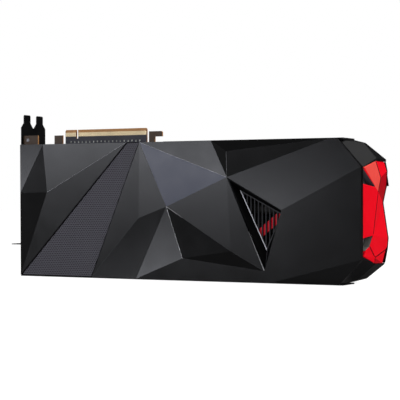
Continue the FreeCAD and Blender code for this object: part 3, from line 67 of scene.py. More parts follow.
def calculate(tree, operation, *terms):
    """The result of a Math node on sockets or plain numbers."""
    node = tree.nodes.new("ShaderNodeMath")
    node.operation = operation
    for socket, term in zip(node.inputs, terms):
        if isinstance(term, float):
            socket.default_value = term
        else:
            tree.links.new(term, socket)
    return node.outputs["Value"]


def spread(tree, value, start, end, low, high, way="LINEAR"):
    """A value's run from start to end carried onto low to high, and held past both."""
    step = tree.nodes.new("ShaderNodeMapRange")
    step.interpolation_type = way
    limits = {"From Min": start, "From Max": end, "To Min": low, "To Max": high}
    for name, limit in limits.items():
        step.inputs[name].default_value = limit
    tree.links.new(value, step.inputs["Value"])
    return step.outputs["Result"]


def pattern_place(tree, scale=(1.0, 1.0, 1.0)):
    """Object coordinates of the piece, stretched for a pattern."""
    place = tree.nodes.new("ShaderNodeTexCoord")
    mapping = tree.nodes.new("ShaderNodeMapping")
    mapping.inputs["Scale"].default_value = scale
    tree.links.new(place.outputs["Object"], mapping.inputs["Vector"])
    return mapping.outputs["Vector"]


def grain(tree, where, size, detail=3.0):
    """Soft noise with cells about size metres across."""
    noise = tree.nodes.new("ShaderNodeTexNoise")
    noise.inputs["Scale"].default_value = 1.0 / size
    noise.inputs["Detail"].default_value = detail
    tree.links.new(where, noise.inputs["Vector"])
    return noise.outputs["Fac"]


# The part of soft noise's 0 to 1 that it mostly keeps to.
NOISE_RUN = (0.3, 0.7)

# Patches of broad noise are this many times the fine grain's size.
BROAD = 40


def remap(tree, value, low, high):
    """Soft noise spread over low to high."""
    return spread(tree, value, *NOISE_RUN, low, high)


def blend_colour(tree, value, first, second):
    """Two colours mixed by a value."""
    mix = tree.nodes.new("ShaderNodeMix")
    mix.data_type = "RGBA"
    mix.inputs["A"].default_value = (*first, 1.0)
    mix.inputs["B"].default_value = (*second, 1.0)
    tree.links.new(value, mix.inputs["Factor"])
    return mix.outputs["Result"]


def bump(tree, height, depth):
    """Surface relief of a height pattern, depth metres deep."""
    relief = tree.nodes.new("ShaderNodeBump")
    relief.inputs["Distance"].default_value = depth
    tree.links.new(height, relief.inputs["Height"])
    return relief.outputs["Normal"]


def finish_coat(name, dark, pale, rough, size, depth, specular=0.5, metallic=0.0,
                stretch=(1.0, 1.0, 1.0)):
    """A finish with fine grain: two close colours, a roughness range and a relief."""
    material, tree, surface = shader(name)
    where = pattern_place(tree, stretch)
    fine = grain(tree, where, size)
    broad = grain(tree, where, size * BROAD, 2.0)
    tree.links.new(blend_colour(tree, broad, dark, pale), surface.inputs["Base Color"])
    tree.links.new(remap(tree, broad, *rough), surface.inputs["Roughness"])
    tree.links.new(bump(tree, fine, depth), surface.inputs["Normal"])
    surface.inputs["Specular IOR Level"].default_value = specular
    surface.inputs["Metallic"].default_value = metallic
    return material


def along(tree, axis):
    """Where a piece is along one axis of the card."""
    parts = tree.nodes.new("ShaderNodeSeparateXYZ")
    tree.links.new(pattern_place(tree), parts.inputs["Vector"])
    return parts.outputs[axis]


def between(tree, axis, low, high, soft):
    """1 between two places on an axis and 0 outside them, with soft steps between."""
    middle = (low + high) / 2
    half = (high - low) / 2
    away = calculate(tree, "ABSOLUTE", calculate(tree, "SUBTRACT", along(tree, axis), middle))
    return spread(tree, away, half - soft / 2, half + soft / 2, 1.0, 0.0)


# Bands of colour on the slot edge: heights above the floor, and how soft their edges are.
BAND_SOFT = 0.4 * MM
CONTACT_FEET = (120.0 * MM, 127.5 * MM)
CONTACT_TIPS = (131.0 * MM, 140.0 * MM)
BOARD_TIP = (132.2 * MM, 140.0 * MM)
MASK_MARGIN = 1.0 * MM
BOARD_MASK = (0.042, 0.042, 0.052)
FEET_MASK = (0.042, 0.040, 0.048)
LAMINATE = (0.44, 0.215, 0.075)


def band(material, axis, low, high, colour):
    """Change a finish's colour between two places on an axis."""
    tree = material.node_tree
    surface = tree.nodes["Principled BSDF"]
    under = surface.inputs["Base Color"].links[0].from_socket
    mix = tree.nodes.new("ShaderNodeMix")
    mix.data_type = "RGBA"
    mix.inputs["B"].default_value = (*colour, 1.0)
    tree.links.new(under, mix.inputs["A"])
    tree.links.new(between(tree, axis, low, high, BAND_SOFT), mix.inputs["Factor"])
    tree.links.new(mix.outputs["Result"], surface.inputs["Base Color"])
    return material


def board_finish():
    """Bare brown board, blue-black between its slot contacts, laminate at their tips."""
    low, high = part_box("edge_contacts")
    board = finish_coat("bare board", (0.062, 0.041, 0.028), (0.080, 0.053, 0.036),
                        (0.4, 0.5), 0.0002, 0.000004, specular=0.1)
    board = band(board, "X", low[0] - MASK_MARGIN, high[0] + MASK_MARGIN, BOARD_MASK)
    return band(board, "Z", *BOARD_TIP, LAMINATE)


def contact_finish():
    """Gilt contacts with their feet under the solder mask and a bevelled laminate tip."""
    gilt = finish_coat("gilt contact", (0.80, 0.64, 0.37), (0.88, 0.72, 0.45),
                       (0.45, 0.55), 0.0003, 0.000002, specular=0.2, metallic=0.3)
    gilt = band(gilt, "Z", *CONTACT_FEET, FEET_MASK)
    return band(gilt, "Z", *CONTACT_TIPS, LAMINATE)


# Sizes of the ceramic's colour patches, its gloss patches and its grain.
CERAMIC_PATCH = 1.8 * MM
CERAMIC_GLOSS = 0.5 * MM
CERAMIC_GRAIN = 0.3 * MM


def capacitor_finish():
    """Ceramic bodies between pale and dark, by small patches along the row."""
    material, tree, surface = shader("grey ceramic")
    where = pattern_place(tree)
    patches = remap(tree, grain(tree, where, CERAMIC_PATCH, 1.0), 0.0, 1.0)
    gloss = remap(tree, grain(tree, where, CERAMIC_GLOSS), 0.3, 0.5)
    relief = bump(tree, grain(tree, where, CERAMIC_GRAIN), 0.000004)
    tree.links.new(blend_colour(tree, patches, (0.05, 0.06, 0.055), (0.62, 0.64, 0.60)),
                   surface.inputs["Base Color"])
    tree.links.new(gloss, surface.inputs["Roughness"])
    tree.links.new(relief, surface.inputs["Normal"])
    surface.inputs["Specular IOR Level"].default_value = 0.2
    return material


def make_finishes():
    """The finish of each material slot, and of faces painted apart inside some, among them
    painted highlights, painted sheen and painted shade.
    """
    return {
        # Pale finishes for ridges, bead and glints: painted highlights, from faint to bright.
        "painted_highlight_faint": finish_coat("faint edge", (0.11, 0.113, 0.125), (0.15, 0.154, 0.17),
                                  (0.3, 0.4), 0.0004, 0.000001, specular=0.3),
        "painted_highlight_fine": finish_coat("painted highlight edge", (0.40, 0.405, 0.43), (0.48, 0.485, 0.51),
                                 (0.3, 0.4), 0.0004, 0.000001, specular=0.3, metallic=0.14),
        "painted_highlight_bright": finish_coat("bright edge", (0.84, 0.84, 0.86), (0.92, 0.92, 0.94),
                                   (0.3, 0.4), 0.0004, 0.000001, specular=0.4, metallic=0.5),
        "bead_side": finish_coat("dull bead", (0.035, 0.035, 0.038), (0.05, 0.05, 0.054),
                                 (0.4, 0.5), 0.0004, 0.000002, specular=0.1),
        # A blue-black coat for one facet: a painted sheen.
        "painted_sheen_facet": finish_coat("painted blue sheen facet", (0.001, 0.0045, 0.027),
                                  (0.0014, 0.006, 0.034), (0.20, 0.24), 0.0004, 0.0000015,
                                  specular=0.15),
        "high_notch": finish_coat("shaded notch", (0.12, 0.105, 0.12), (0.15, 0.135, 0.15),
                                  (0.5, 0.6), 0.0004, 0.000003, specular=0.05),
        "low_notch": finish_coat("grey notch", (0.17, 0.17, 0.16), (0.22, 0.22, 0.21),
                                 (0.5, 0.6), 0.0004, 0.000003, specular=0.05),
        "laminate": finish_coat("laminate edge", (0.38, 0.175, 0.06), (0.48, 0.235, 0.085),
                                (0.5, 0.6), 0.0002, 0.000004, specular=0.2),
        # Near black for the floor under the strip: painted shadow.
        "painted_shadow_black": finish_coat("hole shadow", (0.0006, 0.0006, 0.0007),
                                  (0.0009, 0.0009, 0.001), (0.8, 0.9), 0.0004, 0.000002,
                                  specular=0.01),
        "crease": finish_coat("shadowed crease", (0.016, 0.001, 0.0015), (0.03, 0.0015, 0.002),
                              (0.5, 0.6), 0.0003, 0.000003, specular=0.05),
        "black_plate": finish_coat("satin black plate", (0.0016, 0.0016, 0.0018),
                                   (0.0022, 0.0022, 0.0025), (0.20, 0.24), 0.0004, 0.0000015,
                                   specular=0.15),
        "black_mesh": finish_coat("black mesh", (0.075, 0.072, 0.088), (0.10, 0.096, 0.115),
                                  (0.4, 0.5), 0.0004, 0.000004, specular=0.15),
        "black_trim": finish_coat("black trim", (0.0015, 0.0015, 0.0017), (0.003, 0.003, 0.0033),
                                  (0.4, 0.5), 0.0003, 0.000004, specular=0.05),
        # Paler than the funnel for the slats: a painted highlight.
        "slat": finish_coat("slat edge", (0.026, 0.026, 0.029), (0.04, 0.04, 0.044),
                            (0.4, 0.5), 0.0003, 0.000004, specular=0.05),
        "accent_red": finish_coat("red bar", (0.72, 0.006, 0.02), (0.82, 0.008, 0.03),
                                  (0.3, 0.4), 0.0004, 0.000004, specular=0.1),
        "board_black": board_finish(),
        "gilt": contact_finish(),
        "ceramic_grey": capacitor_finish(),
        "black_bracket": finish_coat("black plated steel", (0.002, 0.002, 0.0022),
                                     (0.004, 0.004, 0.0043), (0.3, 0.42), 0.0004, 0.000003,
                                     specular=0.06),
        "port_steel": finish_coat("plated port shell", (0.60, 0.60, 0.61), (0.74, 0.74, 0.75),
                                  (0.2, 0.34), 0.0003, 0.000002, metallic=1.0,
                                  stretch=(0.2, 1.0, 1.0)),
        "port_black": finish_coat("port tongue", (0.006, 0.006, 0.006), (0.012, 0.012, 0.012),
                                  (0.45, 0.6), 0.0003, 0.000006),
        "package_green": finish_coat("green laminate", (0.012, 0.07, 0.03), (0.02, 0.10, 0.045),
                                     (0.35, 0.5), 0.0003, 0.000004),
        "die_grey": finish_coat("polished die", (0.05, 0.055, 0.07), (0.07, 0.075, 0.09),
                                (0.06, 0.12), 0.0005, 0.000001, specular=0.8),
        "chip_black": finish_coat("chip body", (0.014, 0.014, 0.015), (0.024, 0.024, 0.025),
                                  (0.5, 0.65), 0.0002, 0.000006),
        "pad_grey": finish_coat("thermal pad", (0.36, 0.40, 0.45), (0.46, 0.50, 0.56),
                                (0.7, 0.85), 0.0005, 0.00003),
        "ferrite": finish_coat("ferrite", (0.03, 0.03, 0.032), (0.055, 0.055, 0.058),
                               (0.5, 0.7), 0.0002, 0.00001),
        "can_metal": finish_coat("bare can", (0.62, 0.62, 0.63), (0.78, 0.78, 0.79),
                                 (0.25, 0.4), 0.0003, 0.000003, metallic=1.0),
        "copper": finish_coat("bare copper", (0.72, 0.33, 0.19), (0.86, 0.46, 0.30),
                              (0.22, 0.38), 0.0003, 0.000003, metallic=1.0),
        "plated_pipe": finish_coat("plated pipe", (0.022, 0.021, 0.020), (0.034, 0.032, 0.030),
                                   (0.42, 0.52), 0.0004, 0.000003, specular=0.1, metallic=0.3,
                                   stretch=(0.1, 1.0, 1.0)),
        "fin_metal": finish_coat("coated fin sheet", (0.035, 0.035, 0.038), (0.06, 0.06, 0.065),
                                 (0.4, 0.55), 0.0004, 0.000004, specular=0.15,
                                 stretch=(1.0, 0.2, 1.0)),
        "black_shroud": finish_coat("moulded black", (0.006, 0.006, 0.007),
                                    (0.011, 0.011, 0.012), (0.42, 0.55), 0.00035, 0.00001,
                                    specular=0.15),
        "dark_cap": finish_coat("satin dark cap", (0.004, 0.004, 0.0045), (0.006, 0.006, 0.0065),
                                (0.30, 0.36), 0.0003, 0.000003, specular=0.12),
        "end_grey": finish_coat("satin grey panel", (0.10, 0.10, 0.103), (0.13, 0.13, 0.133),
                                (0.4, 0.5), 0.0003, 0.000004, specular=0.2),
        "red_cover": finish_coat("red cover", (0.90, 0.002, 0.012), (0.95, 0.003, 0.016),
                                 (0.34, 0.40), 0.0003, 0.000002, specular=0.02),
        # Orange red for the upper facets, a painted sheen, and darker red for others, painted
        # shade.
        "painted_sheen_red": finish_coat("painted sheen red facet", (0.90, 0.075, 0.06), (0.95, 0.095, 0.075),
                                (0.34, 0.40), 0.0003, 0.000002, specular=0.02),
        "painted_shade_red": finish_coat("painted shade red facet", (0.46, 0.0015, 0.008), (0.52, 0.002, 0.010),
                                (0.34, 0.40), 0.0003, 0.000002, specular=0.02),
        "blade_black": finish_coat("blade", (0.007, 0.007, 0.008), (0.012, 0.012, 0.013),
                                   (0.38, 0.5), 0.0003, 0.000006, specular=0.35),
        "steel": finish_coat("ground steel", (0.5, 0.5, 0.51), (0.66, 0.66, 0.67),
                             (0.15, 0.3), 0.0002, 0.000002, metallic=1.0,
                             stretch=(1.0, 0.1, 1.0)),
        "bearing_brass": finish_coat("sintered bush", (0.55, 0.40, 0.18), (0.70, 0.53, 0.27),
                                     (0.35, 0.55), 0.0002, 0.000006, metallic=1.0),
        "winding": finish_coat("winding", (0.42, 0.16, 0.06), (0.60, 0.26, 0.12),
                               (0.25, 0.4), 0.0004, 0.00004, metallic=1.0,
                               stretch=(1.0, 4.0, 1.0)),
        "socket_black": finish_coat("socket body", (0.008, 0.008, 0.008), (0.014, 0.014, 0.014),
                                    (0.45, 0.6), 0.0003, 0.000008),
        "header_white": finish_coat("header body", (0.62, 0.60, 0.55), (0.74, 0.72, 0.67),
                                    (0.45, 0.6), 0.0003, 0.000006),
        "screw_black": finish_coat("black screw", (0.03, 0.03, 0.032), (0.06, 0.06, 0.063),
                                   (0.25, 0.4), 0.0002, 0.000003, metallic=1.0),
    }


FINISHES = make_finishes()


# ------------------------------------------------------------ pieces and faces

def wear(piece, slot):
    """Give a piece the finish of a material slot."""
    piece.data.materials.clear()
    piece.data.materials.append(FINISHES[slot])


def dress_cad_nodes():
    """Every CAD node takes its own slot's finish."""
    for node, piece in NODES.items():
        wear(piece, SLOT_OF[node])


# Corners closer than this are one, and faces that turn less than this are one flat face.
SAME_CORNER = 1e-6
SAME_FLAT = math.radians(0.12)


def merged(node):
    """A CAD node's mesh with equal corners joined and each flat face made whole."""
    mesh = NODES[node].data.copy()
    shape = bmesh.new()
    shape.from_mesh(mesh)
    bmesh.ops.remove_doubles(shape, verts=shape.verts, dist=SAME_CORNER)
    bmesh.ops.dissolve_limit(shape, angle_limit=SAME_FLAT, verts=shape.verts,
                             edges=shape.edges)
    for face in shape.faces:
        face.smooth = False
    shape.to_mesh(mesh)
    shape.free()
    return mesh


def new_piece(name, mesh):
    """A mesh as a piece in the scene."""
    piece = bpy.data.objects.new(name, mesh)
    bpy.context.scene.collection.objects.link(piece)
    return piece


def show_instead(node, name, mesh):
    """Put a mesh in a CAD node's place, on its body and in its finish."""
    piece = new_piece(name, mesh)
    wear(piece, SLOT_OF[node])
    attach(piece, BODY_OF[node])
    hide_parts(node)
    return piece


def vertex_places(mesh):
    """The mesh's corners as one array, in metres."""
    places = np.empty(len(mesh.vertices) * 3)
    mesh.vertices.foreach_get("co", places)
    return places.reshape(-1, 3)


def face_middles(mesh):
    """The middle of each face."""
    middles = np.empty(len(mesh.polygons) * 3)
    mesh.polygons.foreach_get("center", middles)
    return middles.reshape(-1, 3)


def face_normals(mesh):
    """The way that each face looks."""
    normals = np.empty(len(mesh.polygons) * 3)
    mesh.polygons.foreach_get("normal", normals)
    return normals.reshape(-1, 3)


def settle(piece):
    """Make what a piece's modifiers do part of its mesh."""
    bpy.context.view_layer.update()
    seen = piece.evaluated_get(bpy.context.evaluated_depsgraph_get())
    piece.data = bpy.data.meshes.new_from_object(seen)
    piece.modifiers.clear()


# Rounded nodes: the rounding's width and the least turn in degrees that gets it.
ROUNDING = {
    "backplate": (0.5 * MM, 0.9),
    "red_end_cover": (0.6 * MM, 3.0),
    "end_cap": (0.4 * MM, 5.0),
}
ROUND_STEPS = 2


def rounded_copy(node, lean=None):
    """A merged copy of a CAD node with its edges rounded, shown in the node's place."""
    piece = show_instead(node, node + "_rounded", merged(node))
    if lean:
        places = vertex_places(piece.data)
        lean(places)
        piece.data.vertices.foreach_set("co", places.ravel())
    width, least_turn = ROUNDING[node]
    edges = piece.modifiers.new("rounded edges", "BEVEL")
    edges.width = width
    edges.segments = ROUND_STEPS
    edges.limit_method = "ANGLE"
    edges.angle_limit = math.radians(least_turn)
    edges.use_clamp_overlap = True
    settle(piece)
    return piece


def outward(mesh):
    """Turn a closed mesh's faces to look outward."""
    shape = bmesh.new()
    shape.from_mesh(mesh)
    bmesh.ops.recalc_face_normals(shape, faces=shape.faces)
    shape.to_mesh(mesh)
    shape.free()


def trim_piece(name, node, places, faces, finishes):
    """A thin closed form as a piece of its own, on a node's body and in the given finishes."""
    mesh = bpy.data.meshes.new(name)
    mesh.from_pydata(places.tolist(), [], faces)
    outward(mesh)
    piece = new_piece(name, mesh)
    for finish in finishes:
        mesh.materials.append(FINISHES[finish])
    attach(piece, BODY_OF[node])
    return mesh


def rod(start, end, radius, end_radius):
    """Three-sided rod: its ring at s is start + s*(end - start) + r(s)*(cos(a), sin(a))."""
    way = (end - start) / np.linalg.norm(end - start)
    across = np.cross(way, (1.0, 0.0, 0.0))
    across /= np.linalg.norm(across)
    angle = np.radians(120.0 * np.arange(3))[:, None]
    ring = np.cos(angle) * across + np.sin(angle) * np.cross(way, across)
    side = np.arange(3)
    faces = np.stack((side, (side + 1) % 3, (side + 1) % 3 + 3, side + 3), axis=-1)
    places = np.concatenate((start + radius * ring, end + end_radius * ring))
    return places, faces.tolist() + [[0, 1, 2], [3, 4, 5]]


def make_rod(name, node, finish, *sizes):
    """One thin rod as a piece of its own; sizes are its ends and their radii."""
    places, faces = rod(*sizes)
    trim_piece(name, node, places, faces, [finish])


def extra_finish(piece, finish):
    """Add one more finish to a piece and give its index."""
    piece.data.materials.append(FINISHES[finish])
    return len(piece.data.materials) - 1


def paint_faces(piece, chosen, finish):
    """The chosen faces take another finish."""
    index = np.empty(len(piece.data.polygons), np.int32)
    piece.data.polygons.foreach_get("material_index", index)
    index[chosen] = extra_finish(piece, finish)
    piece.data.polygons.foreach_set("material_index", index)


def paint_line(piece, start, end, reach, finish):
    """Faces that keep within reach of a line from start to end take another finish."""
    mesh = piece.data
    places = vertex_places(mesh)
    way = end - start
    share = np.clip((places - start) @ way / (way @ way), 0.0, 1.0)
    near = np.linalg.norm(places - start - share[:, None] * way, axis=1) < reach
    corners = np.empty(len(mesh.loops), np.int32)
    mesh.loops.foreach_get("vertex_index", corners)
    first = np.empty(len(mesh.polygons), np.int32)
    mesh.polygons.foreach_get("loop_start", first)
    whole = np.minimum.reduceat(near[corners].astype(np.int32), first) > 0
    paint_faces(piece, whole, finish)


def inside_outline(spots, outline):
    """Which places lie inside a convex outline whose corners go clockwise."""
    inside = np.ones(len(spots), bool)
    for start, end in zip(outline, np.roll(outline, -1, axis=0)):
        side, reach = end - start, spots - start
        inside &= side[1] * reach[:, 0] - side[0] * reach[:, 1] > 0
    return inside


def clockwise(corners):
    """A triangle's corners in clockwise order."""
    first, second = corners[1] - corners[0], corners[2] - corners[0]
    return corners if first[0] * second[1] < first[1] * second[0] else corners[::-1]


# ------------------------------------------------------------------- backplate

# A face looks to the front when the Y of its normal is below this.
FRONT_FACING = -0.5

# How far a corner may lie from the place where it is looked for, and how near two
# corners count as one place.
NEAR_PLACE = 0.4 * MM
SAME_PLACE = 0.1 * MM

# Where lengths along the card start, and the depth of the backplate's rim.
PLATE_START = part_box("backplate")[0][0] - 1.0 * MM
PLATE_RELIEF = 7.15 * MM
BACKPLATE_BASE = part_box("backplate")[0][1] + PLATE_RELIEF

# Ridge ends on the backplate: along the card and up, in millimetres.
PLATE_POINTS = {
    "fan_root": (31.13, 76.96), "strip_top_left": (114.16, 120.7),
    "strip_top_right": (127.72, 120.7), "vent_top": (214.94, 89.27),
    "crest_tip": (215.27, 111.20), "wedge_tip": (155.34, 64.18),
    "keel_tip": (170.74, 19.84), "vent_low": (251.30, 10.40), "belly": (218.39, 26.30),
}
# Ridges whose rounded edges take a pale finish: painted highlights along them.
PLATE_RIDGES = [
    ("fan_root", "strip_top_left", "painted_highlight_fine"),
    ("strip_top_right", "vent_top", "painted_highlight_fine"),
    ("vent_top", "crest_tip", "painted_highlight_fine"),
    ("wedge_tip", "keel_tip", "painted_highlight_bright"),
]
RIDGE_REACH = 0.7 * MM

# Corners of the facet with a painted bluish sheen, standing in for its reflection of the strip
# lamp.
SHEEN_FACET = ["strip_top_right", "vent_top", "wedge_tip"]

# How far the keel's tip leans along the card.
KEEL_LEAN = np.array((3.4 * MM, 0.0, 0.0))

# Ways to the strip's corners, clockwise from its upper left, and the gap that the
# sheet leaves along each side that starts there.
STRIP_WAYS = [(-1, 10), (1, 10), (1, -10), (-1, -10)]
STRIP_GAPS = [0.1 * MM, 0.3 * MM, 0.1 * MM, 0.85 * MM]


def card_outline(points):
    """Points in millimetres along the card and up, as places in the frame."""
    return np.array(points) * MM + (PLATE_START, 0.0)


def foremost(places, along_card, up):
    """The corner nearest the front among those at one place of the backplate."""
    target = np.array((PLATE_START + along_card * MM, up * MM))
    here = np.linalg.norm(places[:, [0, 2]] - target, axis=1) < NEAR_PLACE
    found = places[here]
    return found[found[:, 1].argmin()]


def lean_keel(places):
    """Set the keel's tip a little further along the card."""
    tip = foremost(places, *PLATE_POINTS["keel_tip"])
    places[np.linalg.norm(places - tip, axis=1) < SAME_PLACE] += KEEL_LEAN


def ridge_ends():
    """The corners at the ends of the backplate's ridges, with the keel's tip leaned."""
    places = vertex_places(NODES["backplate"].data)
    ends = {name: foremost(places, *spot) for name, spot in PLATE_POINTS.items()}
    ends["keel_tip"] = ends["keel_tip"] + KEEL_LEAN
    return ends


def strip_outline(places):
    """Front corners of the perforated strip, clockwise from its upper left."""
    return np.array([places[(places[:, [0, 2]] @ np.array(way)).argmax()][[0, 2]]
                     for way in STRIP_WAYS])


def make_backplate():
    """Rounded backplate with painted highlights on ridges, a painted bluish sheen on one facet
    and painted shade under its strip.
    """
    plate = rounded_copy("backplate", lean_keel)
    spots = face_middles(plate.data)[:, [0, 2]]
    strip = strip_outline(vertex_places(NODES["mesh_panel"].data))
    # The floor under the strip takes painted shadow.
    paint_faces(plate, inside_outline(spots, strip), "painted_shadow_black")
    # One facet takes a painted bluish sheen.
    facet = clockwise(card_outline([PLATE_POINTS[corner] for corner in SHEEN_FACET]))
    front = face_normals(plate.data)[:, 1] < FRONT_FACING
    paint_faces(plate, inside_outline(spots, facet) & front, "painted_sheen_facet")
    ends = ridge_ends()
    # The ridges' rounded edges take painted highlights.
    for start, end, finish in PLATE_RIDGES:
        paint_line(plate, ends[start], ends[end], RIDGE_REACH, finish)


# Painted glints on part of a ridge: its ends, the share of its length, end radii and finish.
GLINTS = [
    ("strip_top_right", "wedge_tip", 0.02, 0.6, 0.35 * MM, 0.1 * MM, "painted_highlight_faint"),
    ("wedge_tip", "belly", 0.0, 0.25, 0.4 * MM, 0.1 * MM, "painted_highlight_fine"),
    ("vent_top", "vent_low", 0.58, 0.99, 0.1 * MM, 0.5 * MM, "painted_highlight_fine"),
]


def make_ridge_glints():
    """Thin tapered rods in pale finishes on the ridges: painted glints over part of their
    length.
    """
    ends = ridge_ends()
    for number, (start, end, first, last, head, tail, finish) in enumerate(GLINTS, 1):
        foot, way = ends[start], ends[end] - ends[start]
        make_rod(f"ridge_glint_{number}", "backplate", finish,
                 foot + first * way, foot + last * way, head, tail)


# ------------------------------------------------------------- board and strip

# A face of the board is one of its two flats when its normal's Y, either way, is above this.
BOARD_FLAT = 0.95


def make_board():
    """Circuit board with its cut edges in bare laminate."""
    board = show_instead("circuit_board", "circuit_board_dressed", merged("circuit_board"))
    cut_edges = np.abs(face_normals(board.data)[:, 1]) < BOARD_FLAT
    paint_faces(board, cut_edges, "laminate")


HOLE_PITCH = 1.9 * MM
HOLE_RADIUS = 0.62 * MM
SHEET_DEEP = 0.35 * MM


def perforated_cells(width, height):
    """Flat honeycomb of cells, each with a six-sided hole, over a width and a height.

    Cell (i, j) stands at x = p*(i + j%2/2), z = p*j*sqrt(3)/2; its outer corners lie at
    p/sqrt(3) and its hole's at r from there, at angles 30 + 60*k degrees.
    """
    rows = int(height / (HOLE_PITCH * math.sqrt(3) / 2)) + 2
    columns = int(width / HOLE_PITCH) + 2
    across, up = np.meshgrid(np.arange(columns), np.arange(rows))
    middle = np.stack((HOLE_PITCH * (across + up % 2 / 2),
                       HOLE_PITCH * up * math.sqrt(3) / 2), axis=-1).reshape(-1, 1, 2)
    angle = np.radians(30.0 + 60.0 * np.arange(6))
    ring = np.stack((np.cos(angle), np.sin(angle)), axis=-1)
    outer = middle + ring * HOLE_PITCH / math.sqrt(3)
    inner = middle + ring * HOLE_RADIUS
    corners = np.concatenate((outer, inner), axis=1).reshape(-1, 2)
    step = np.arange(6)
    quad = np.stack((step, (step + 1) % 6, (step + 1) % 6 + 6, step + 6), axis=-1)
    faces = (quad[None] + 12 * np.arange(len(middle))[:, None, None]).reshape(-1, 4)
    return corners, faces


def front_depth(mesh, spots):
    """Depth of the plane of the largest front face, at places along the card and up."""
    front = max((face for face in mesh.polygons if face.normal.y < FRONT_FACING),
                key=lambda face: face.area)
    normal, point = np.array(front.normal), np.array(front.center)
    slope = (spots - point[[0, 2]]) @ normal[[0, 2]]
    return point[1] - slope / normal[1]


def cut_to_strip(mesh, outline):
    """Cut a flat mesh along the strip's sides, each drawn in by its gap."""
    shape = bmesh.new()
    shape.from_mesh(mesh)
    bmesh.ops.remove_doubles(shape, verts=shape.verts, dist=SAME_CORNER)
    for start, end, gap in zip(outline, np.roll(outline, -1, axis=0), STRIP_GAPS):
        side = end - start
        inward = Vector((side[1], 0.0, -side[0])).normalized()
        parts = list(shape.verts) + list(shape.edges) + list(shape.faces)
        foot = Vector((start[0], 0.0, start[1])) + inward * gap
        bmesh.ops.bisect_plane(shape, geom=parts, plane_co=foot, plane_no=inward,
                               clear_inner=True)
    shape.to_mesh(mesh)
    shape.free()


def make_mesh_panel():
    """Perforated strip: the honeycomb cut to the strip and laid on its face."""
    solid = merged("mesh_panel")
    places = vertex_places(solid)
    low, high = places.min(axis=0), places.max(axis=0)
    corners, faces = perforated_cells(high[0] - low[0], high[2] - low[2])
    flat = np.zeros((len(corners), 3))
    flat[:, [0, 2]] = corners + low[[0, 2]]
    mesh = bpy.data.meshes.new("mesh_panel_sheet")
    mesh.from_pydata(flat.tolist(), [], faces.tolist())
    cut_to_strip(mesh, strip_outline(places))
    spots = vertex_places(mesh)
    spots[:, 1] = front_depth(solid, spots[:, [0, 2]])
    mesh.vertices.foreach_set("co", spots.ravel())
    if face_normals(mesh)[:, 1].mean() > 0:
        mesh.flip_normals()
    piece = show_instead("mesh_panel", "mesh_panel_perforated", mesh)
    sheet = piece.modifiers.new("sheet", "SOLIDIFY")
    sheet.thickness = SHEET_DEEP
    sheet.offset = -1.0
    settle(piece)


# ------------------------------------------------------------------------ vent

# Corners of the vent's slatted triangle: along the card and up, in millimetres.
VENT_FLOOR = [(224.11, 78.64), (263.48, 58.56), (249.59, 26.89)]
VENT_DEEP = 3.0 * MM


def make_vent_grille():
    """The vent's funnel in black and the slats in its floor paler: a painted highlight on them.
    """
    grille = show_instead("vent_grille", "vent_grille_dressed", merged("vent_grille"))
    middles = face_middles(grille.data)
    slats = inside_outline(middles[:, [0, 2]], clockwise(card_outline(VENT_FLOOR)))
    slats &= middles[:, 1] > BACKPLATE_BASE + VENT_DEEP - SAME_PLACE
    # The slats take a painted highlight.
    paint_faces(grille, slats, "slat")


# Ends of the vent's stem: along the card, into its depth and up, in millimetres.
STEM = [(249.7, 2.6, 26.6), (251.1, -2.9, 13.2)]
STEM_RADIUS = 0.35 * MM


def make_vent_stem():
    """Thin rod in the valley from the bead's lowest corner to the vent's own."""
    head, tail = np.array(STEM) * MM + (PLATE_START, BACKPLATE_BASE, 0.0)
    make_rod("vent_stem", "vent_grille", "painted_highlight_faint", head, tail, STEM_RADIUS, STEM_RADIUS)


# The bead's width and height, and how far its outer side slopes in.
BEAD_WIDE = 0.85 * MM
BEAD_HIGH = 0.5 * MM
BEAD_SLOPE = 0.15 * MM


def drawn_in(corners, inset):
    """A triangle with each side moved in: a corner moves inset/sin(half its angle)."""
    before = np.roll(corners, 1, axis=0) - corners
    after = np.roll(corners, -1, axis=0) - corners
    before /= np.linalg.norm(before, axis=1, keepdims=True)
    after /= np.linalg.norm(after, axis=1, keepdims=True)
    middle = before + after
    middle /= np.linalg.norm(middle, axis=1, keepdims=True)
    sine = np.abs(before[:, 0] * middle[:, 1] - before[:, 1] * middle[:, 0])
    return corners + middle * (inset / sine)[:, None]


def make_vent_bead():
    """Thin raised bead round the slatted triangle: a mitred ring of four-sided section."""
    foot = BACKPLATE_BASE + VENT_DEEP
    corners = card_outline(VENT_FLOOR)
    rings = []
    for inset, depth in ((0.0, foot), (BEAD_SLOPE, foot - BEAD_HIGH),
                         (BEAD_WIDE, foot - BEAD_HIGH), (BEAD_WIDE, foot)):
        flat = drawn_in(corners, inset)
        rings.append(np.stack((flat[:, 0], np.full(3, depth), flat[:, 1]), axis=-1))
    side = np.arange(3)
    faces = [np.stack((3 * ring + side, 3 * ring + (side + 1) % 3,
                       3 * ((ring + 1) % 4) + (side + 1) % 3, 3 * ((ring + 1) % 4) + side),
                      axis=-1) for ring in range(4)]
    bead = trim_piece("vent_bead", "vent_grille", np.concatenate(rings),
                      np.concatenate(faces).tolist(), ["painted_highlight_fine", "bead_side"])
    # One side of the bead, from its lowest corner to its upper left, is in a pale finish all
    # round, a painted highlight; the other two sides are dull.
    bead.polygons.foreach_set("material_index", np.tile([1, 1, 0], 4).astype(np.int32))


# ------------------------------------------------------------------- red cover

